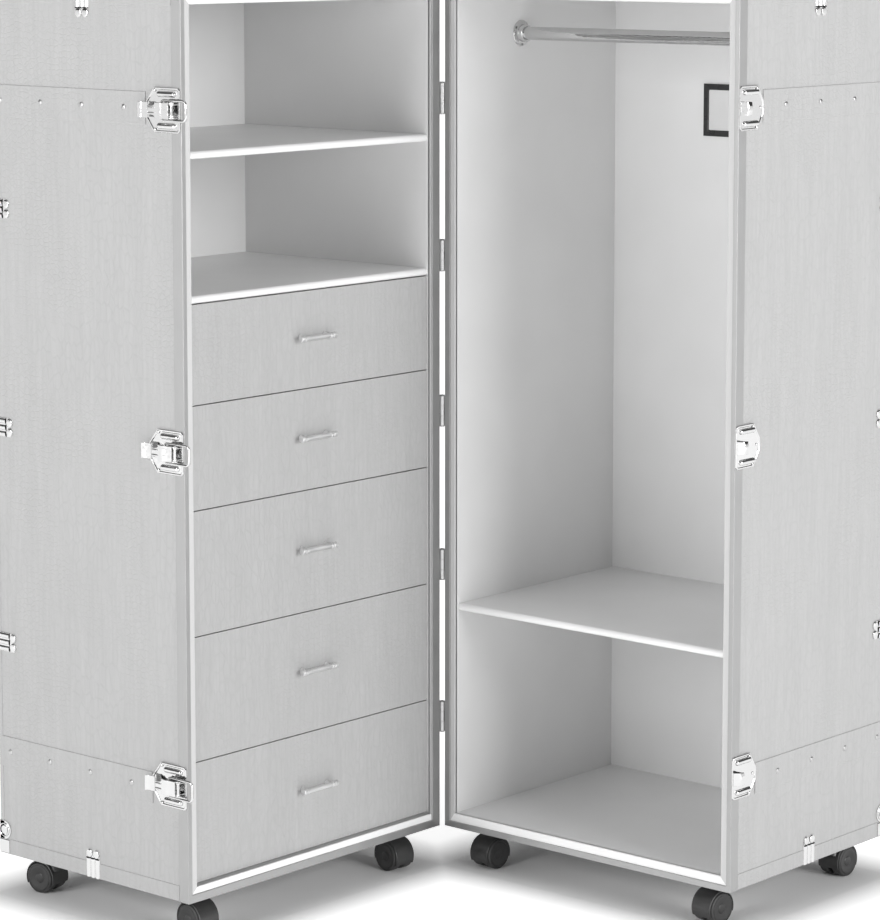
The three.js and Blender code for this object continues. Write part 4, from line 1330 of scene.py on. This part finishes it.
def clampPlaces():
    # origin on the edge, direction along the edge, and the outward directions of its two walls
    places = []
    for z, up in ((0, -1), (tall, 1)):
        for x, out in ((0, -1), (wide, 1)):
            places.append(((x, clampSetup["middle"], z), (0, 1, 0), (out, 0, 0), (0, 0, up)))
        places.append(((wide / 2, deep, z), (1, 0, 0), (0, 1, 0), (0, 0, up)))
    return places + [
        ((x, deep, share * tall), (0, 0, 1), (out, 0, 0), (0, 1, 0))
        for share in clampSetup["shares"] for x, out in ((0, -1), (wide, 1))
    ]


def claspPlaces():
    # x runs along the edge towards the casing's nearer end
    height = claspSetup["height"]
    return [
        ((x, deep, z), (0, 0, towards), (out, 0, 0), (0, 1, 0))
        for x, out in ((0, -1), (wide, 1)) for z, towards in ((height, -1), (tall - height, 1))
    ]


fittingKinds = {"edge_clamps": (makeClamp, clampPlaces()), "edge_clasps": (makeClasp, claspPlaces())}
for side in halves:
    for name, (maker, places) in fittingKinds.items():
        fittings = gathered([(maker(), basis(*place)) for place in places])
        finishPiece("%s_%s" % (side, name), fittings, *halves[side], [chrome], slot="chrome")
print("edge clamps and clasps made")

# ---- twin-wheel casters: hooded black nylon, polyurethane treads, zinc-plated plate and stem
casterSetup = {
    "inset": 62, "plate": 54, "plateSheet": 2.5, "plateCorner": 6, "plateRound": 0.6, "screw": 20,
    "stem": 5, "stemLength": 17, "wheel": 25, "wheelWidth": 18, "web": 6, "sideGap": 0.7, "trail": 18,
    "hoodRoom": 26.2, "hood": 28.6, "hoodWidth": 39.4, "hoodSteps": 40, "front": -18, "rear": 205.2,
    "neck": 12.5, "neckLow": -32, "neckClear": 0.6, "stemBore": 5.3, "stemEnd": -17.3,
    "headings": {"right": (86, 84, 60, -92), "left": (174, 176, 130, 8)},
}
axleDrop = casterSetup["wheel"] - trunk["casterHeight"]


def makeHood():
    setup = casterSetup
    outer, inner, half = setup["hood"], setup["hoodRoom"], setup["hoodWidth"] / 2
    across = basis((-setup["trail"], 0, axleDrop), (1, 0, 0), (0, 0, 1), (0, -1, 0))
    # shell over the two wheels: a section of radius and width, swept about the axle
    section = [
        (outer - 1.6, -half), (outer - 0.5, -half + 0.5), (outer, -half + 1.6), (outer, half - 1.6),
        (outer - 0.5, half - 0.5), (outer - 1.6, half), (inner + 0.3, half), (inner, half - 0.4),
        (inner, 3), (inner, -3), (inner, -half + 0.4), (inner + 0.3, -half),
    ]
    steps, front, sweep = setup["hoodSteps"], setup["front"], setup["rear"] - setup["front"]
    angles = [math.radians(front + sweep * i / steps) for i in range(steps + 1)]
    shell = solid([[(r * math.cos(a), r * math.sin(a), w) for r, w in section] for a in angles])
    webLine = arc((0, 0), inner + 0.6, -10, 190, 24) + arc((0, 0), 8, 200, 340, 12)
    web = slab(webLine, -setup["web"] / 2, setup["web"] / 2)
    neck, low, bore, end = setup["neck"], setup["neckLow"], setup["stemBore"], setup["stemEnd"]
    top = -1 - setup["plateSheet"] - setup["neckClear"]
    column = turned([
        (0, low), (neck + 3.5, low), (neck + 1.6, low + 6), (neck, low + 12), (neck, top - 1.6),
        (neck - 0.5, top - 0.5), (neck - 1.6, top), (bore, top), (bore, end), (0, end),
    ], 32)
    return gathered([(shell, across), (web, across), column])


def makeWheels():
    setup = casterSetup
    radius, inner = setup["wheel"], setup["web"] / 2 + setup["sideGap"]
    outer = inner + setup["wheelWidth"]
    tread = [
        (radius - 3, inner), (radius - 1.0, inner + 0.5), (radius - 0.2, inner + 1.6), (radius, inner + 3),
        (radius, outer - 3.4), (radius - 0.5, outer - 1.6), (radius - 1.6, outer - 0.5),
        (radius - 3, outer - 0.1),
    ]
    cap = [
        (radius - 3.4, outer - 0.7), (radius - 3.9, outer - 0.7), (radius - 4.4, outer - 0.1),
        (radius - 5.6, outer), (radius - 8, outer - 0.5), (12, outer - 1.4), (8.2, outer - 1.8),
        (7.6, outer - 1.2), (6.8, outer - 1.0), (3.4, outer - 0.8), (0, outer - 0.7),
    ]
    parts = []
    for sign in (-1, 1):
        wheel = turned([(0, inner), *tread, *cap], 48)
        for face in wheel.faces:
            centre = face.calc_center_median()
            if math.hypot(centre.x, centre.y) > radius - 3.05:
                face.material_index = 1
        parts.append((wheel, basis((0, 0, 0), (1, 0, 0), (0, sign, 0), (0, 0, 1)) @ alongY))
    parts.append((turned([(0, -4), (3, -4), (3, 4), (0, 4)], 16), alongY))
    return gathered(parts)


def makeCasters(side):
    place, body = halves[side]
    setup = casterSetup
    inset, sheet, radius, length = (setup[key] for key in ("inset", "plateSheet", "stem", "stemLength"))
    half = setup["plate"] / 2
    parts = []
    spots = ((inset, inset), (wide - inset, inset), (inset, deep - inset), (wide - inset, deep - inset))
    for i, (u, v) in enumerate(spots):
        turn = Matrix.Rotation(math.radians(setup["headings"][side][i]), 4, "Z")
        swivel = Matrix.Translation(place @ Vector((u, v, 0))) @ turn @ Matrix.Scale(metre, 4)
        hood, wheels = "%s_caster_hood_%d" % (side, i + 1), "%s_caster_wheels_%d" % (side, i + 1)
        finishPiece(hood + "_moulding", makeHood(), swivel, hood, [nylon], (hood,), "caster")
        atAxle = swivel @ shifted(-setup["trail"], 0, axleDrop)
        finishPiece(wheels + "_pair", makeWheels(), atAxle, wheels, [nylon, polyurethane], (wheels,),
                    "wheel", False)
        onShell = shifted(u, v, 0)
        outline = roundedOutline((-half, -half), (half, half), setup["plateCorner"])
        plate = slab(outline, 0, sheet, setup["plateRound"])
        parts.append((plate, onShell @ basis((0, 0, -1), (1, 0, 0), (0, -1, 0), (0, 0, -1))))
        stem = turned([
            (0, -length), (radius - 0.6, -length), (radius, -length + 0.6), (radius, -0.5), (0, -0.5),
        ], 24)
        parts.append((stem, onShell))
        reach = setup["screw"]
        seats = [(x, y, -1 - sheet) for x in (-reach, reach) for y in (-reach, reach)]
        fasten("screw", body, place @ onShell, seats, (0, 0, -1))
    finishPiece(side + "_caster_plates", gathered(parts), place, body, [zinc], slot="nickel")


for side in halves:
    makeCasters(side)
print("casters made")

# ---- bare plaque in a dark frame on the right back panel
plaqueSetup = {
    "width": 166, "height": 88, "centre": 1186, "bar": 10, "thick": 4.2, "plateCorner": 1.5, "clear": 0.2,
}


def makePlaque():
    place, body = halves["right"]
    x, y = plaqueSetup["width"] / 2, plaqueSetup["height"] / 2
    bar, thick = plaqueSetup["bar"], plaqueSetup["thick"]
    levels = [(0, 0.0), (0, thick - 1), (1, thick), (bar - 1.6, thick - 0.4), (bar, thick - 1.4), (bar, 0.6)]
    ring = [
        [(-x + s, -y + s, n), (x - s, -y + s, n), (x - s, y - s, n), (-x + s, y - s, n)] for s, n in levels
    ]
    onBack = place @ basis((wide / 2, insideBack, plaqueSetup["centre"]), (1, 0, 0), (0, 0, 1), (0, -1, 0))
    finishPiece("plaque_frame", solid(ring), onBack, body, [blackFrame])
    px, py = x - bar - plaqueSetup["clear"], y - bar - plaqueSetup["clear"]
    plate = slab(roundedOutline((-px, -py), (px, py), plaqueSetup["plateCorner"]), 0.3, 1.6, 0.3)
    finishPiece("plaque_plate", plate, onBack, body, [plainCard])


makePlaque()

# ---- fasteners
fastenerKinds = {
    "screw": (screwTree, {"Head radius": 0.0034, "Head height": 0.0004, "Recess width": 0.0008,
                          "Finish": nickel, "Recess painted shadow": slotShadow}),
    "plateRivet": (rivetTree, {"Head radius": 0.0026, "Head height": 0.0013, "Finish": chrome}),
}
for (kind, body), seats in fasteners.items():
    tree, values = fastenerKinds[kind]
    grown("%s_%s_heads" % (body, kind), tree, seats, values, body)
print("plaque and fasteners made:", sum(len(seats) for seats in fasteners.values()))

# ---- floor and light
# pale floor that glows, as painted light, more the farther it lies from the trunk and not at all under it,
# which keeps a painted shadow there; near and far say from which distance to which the glow grows, in metres,
# and by how much
floorSetup = {"reach": 400, "colour": "#f7f7f7", "near": (0.0, 0.1, 0.7), "far": (0.1, 5, 0.15), "cloud": 900}
floorMaterial, floorTree, floorShader = newFinish(
    "paleStudioFloorPaintedGlow", {"Roughness": 0.85, "Specular IOR Level": 0.15}
)
floorPlace = addNode(floorTree, "ShaderNodeTexCoord").outputs["Object"]


def floorMath(operation, first, second=None):
    node = addNode(floorTree, "ShaderNodeVectorMath", {"operation": operation}, links={0: first})
    if second is not None:
        node.inputs[1].default_value = second
    return node.outputs["Value" if operation == "LENGTH" else "Vector"]


def awayFrom(side):
    # distance on the floor from a half's outline
    low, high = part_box(side + "_casing")
    past = floorMath("ABSOLUTE", floorMath("SUBTRACT", floorPlace, (low + high) / 2))
    past = floorMath("SUBTRACT", past, (high - low) / 2)
    return floorMath("LENGTH", floorMath("MULTIPLY", floorMath("MAXIMUM", past, (0, 0, 0)), (1, 1, 0)))


floorAway = combined(floorTree, "MINIMUM", awayFrom("left"), awayFrom("right"))
floorPaintedGlows = [
    ranged(floorTree, floorAway, 0.0, glow, first, last)
    for first, last, glow in (floorSetup["near"], floorSetup["far"])
]
# painted light: the floor's glow, fading out towards the trunk so that the floor stays darker there as
# painted shadow
floorTree.links.new(combined(floorTree, "ADD", *floorPaintedGlows), floorShader.inputs["Emission Strength"])
floorCloud = noise(floorTree, pattern(floorTree, floorSetup["cloud"]), 1.0)
tinted(floorTree, floorShader, floorSetup["colour"], ranged(floorTree, floorCloud, 0.995, 1.005))
floorMesh = bpy.data.meshes.new("studioFloor")
reach = floorSetup["reach"]
floorCorners = [(-reach, -reach, 0), (reach, -reach, 0), (reach, reach, 0), (-reach, reach, 0)]
floorMesh.from_pydata(floorCorners, [], [(0, 1, 2, 3)])
floorMesh.materials.append(floorMaterial)
floor = bpy.data.objects.new("studioFloor", floorMesh)
scene.collection.objects.link(floor)

lightSetup = {
    # sine of elevation and brightness: a pale sweep behind the floor, dim walls, a bright ceiling
    "sky": [(0.0, 1.05), (0.11, 1.05), (0.16, 0.06), (0.6, 0.12), (0.85, 0.4), (0.95, 0.9)],
    "strength": 1.0,
    "aim": (0, 0, 0.75),
    "boxes": {
        "leftBox": {"place": (-0.7, -5.4, 2.1), "size": (2.6, 2.2), "power": 146},
        "rightBox": {"place": (8.6, -0.1, 2.9), "size": (4.4, 3.6), "power": 478},
    },
}


def makeSky():
    world = bpy.data.worlds.new("softStudio")
    world.use_nodes = True
    tree = world.node_tree
    background = tree.nodes["Background"]
    place = addNode(tree, "ShaderNodeTexCoord")
    parts = addNode(tree, "ShaderNodeSeparateXYZ", links={"Vector": place.outputs["Generated"]})
    ramp = addNode(tree, "ShaderNodeValToRGB", links={"Fac": parts.outputs["Z"]})
    stops = ramp.color_ramp.elements
    while len(stops) < len(lightSetup["sky"]):
        stops.new(0.5)
    for stop, (height, value) in zip(stops, lightSetup["sky"]):
        stop.position = height
        stop.color = (value, value, value, 1)
    tree.links.new(ramp.outputs["Color"], background.inputs["Color"])
    background.inputs["Strength"].default_value = lightSetup["strength"]
    scene.world = world


def makeBoxes():
    for name, box in lightSetup["boxes"].items():
        data = bpy.data.lights.new(name, "AREA")
        data.shape = "RECTANGLE"
        data.size, data.size_y = box["size"]
        data.energy = box["power"]
        lamp = bpy.data.objects.new(name, data)
        lamp.location = box["place"]
        aim = Vector(lightSetup["aim"]) - Vector(box["place"])
        lamp.rotation_euler = aim.to_track_quat("-Z", "Y").to_euler()
        scene.collection.objects.link(lamp)


makeSky()
makeBoxes()
print("floor and light made")
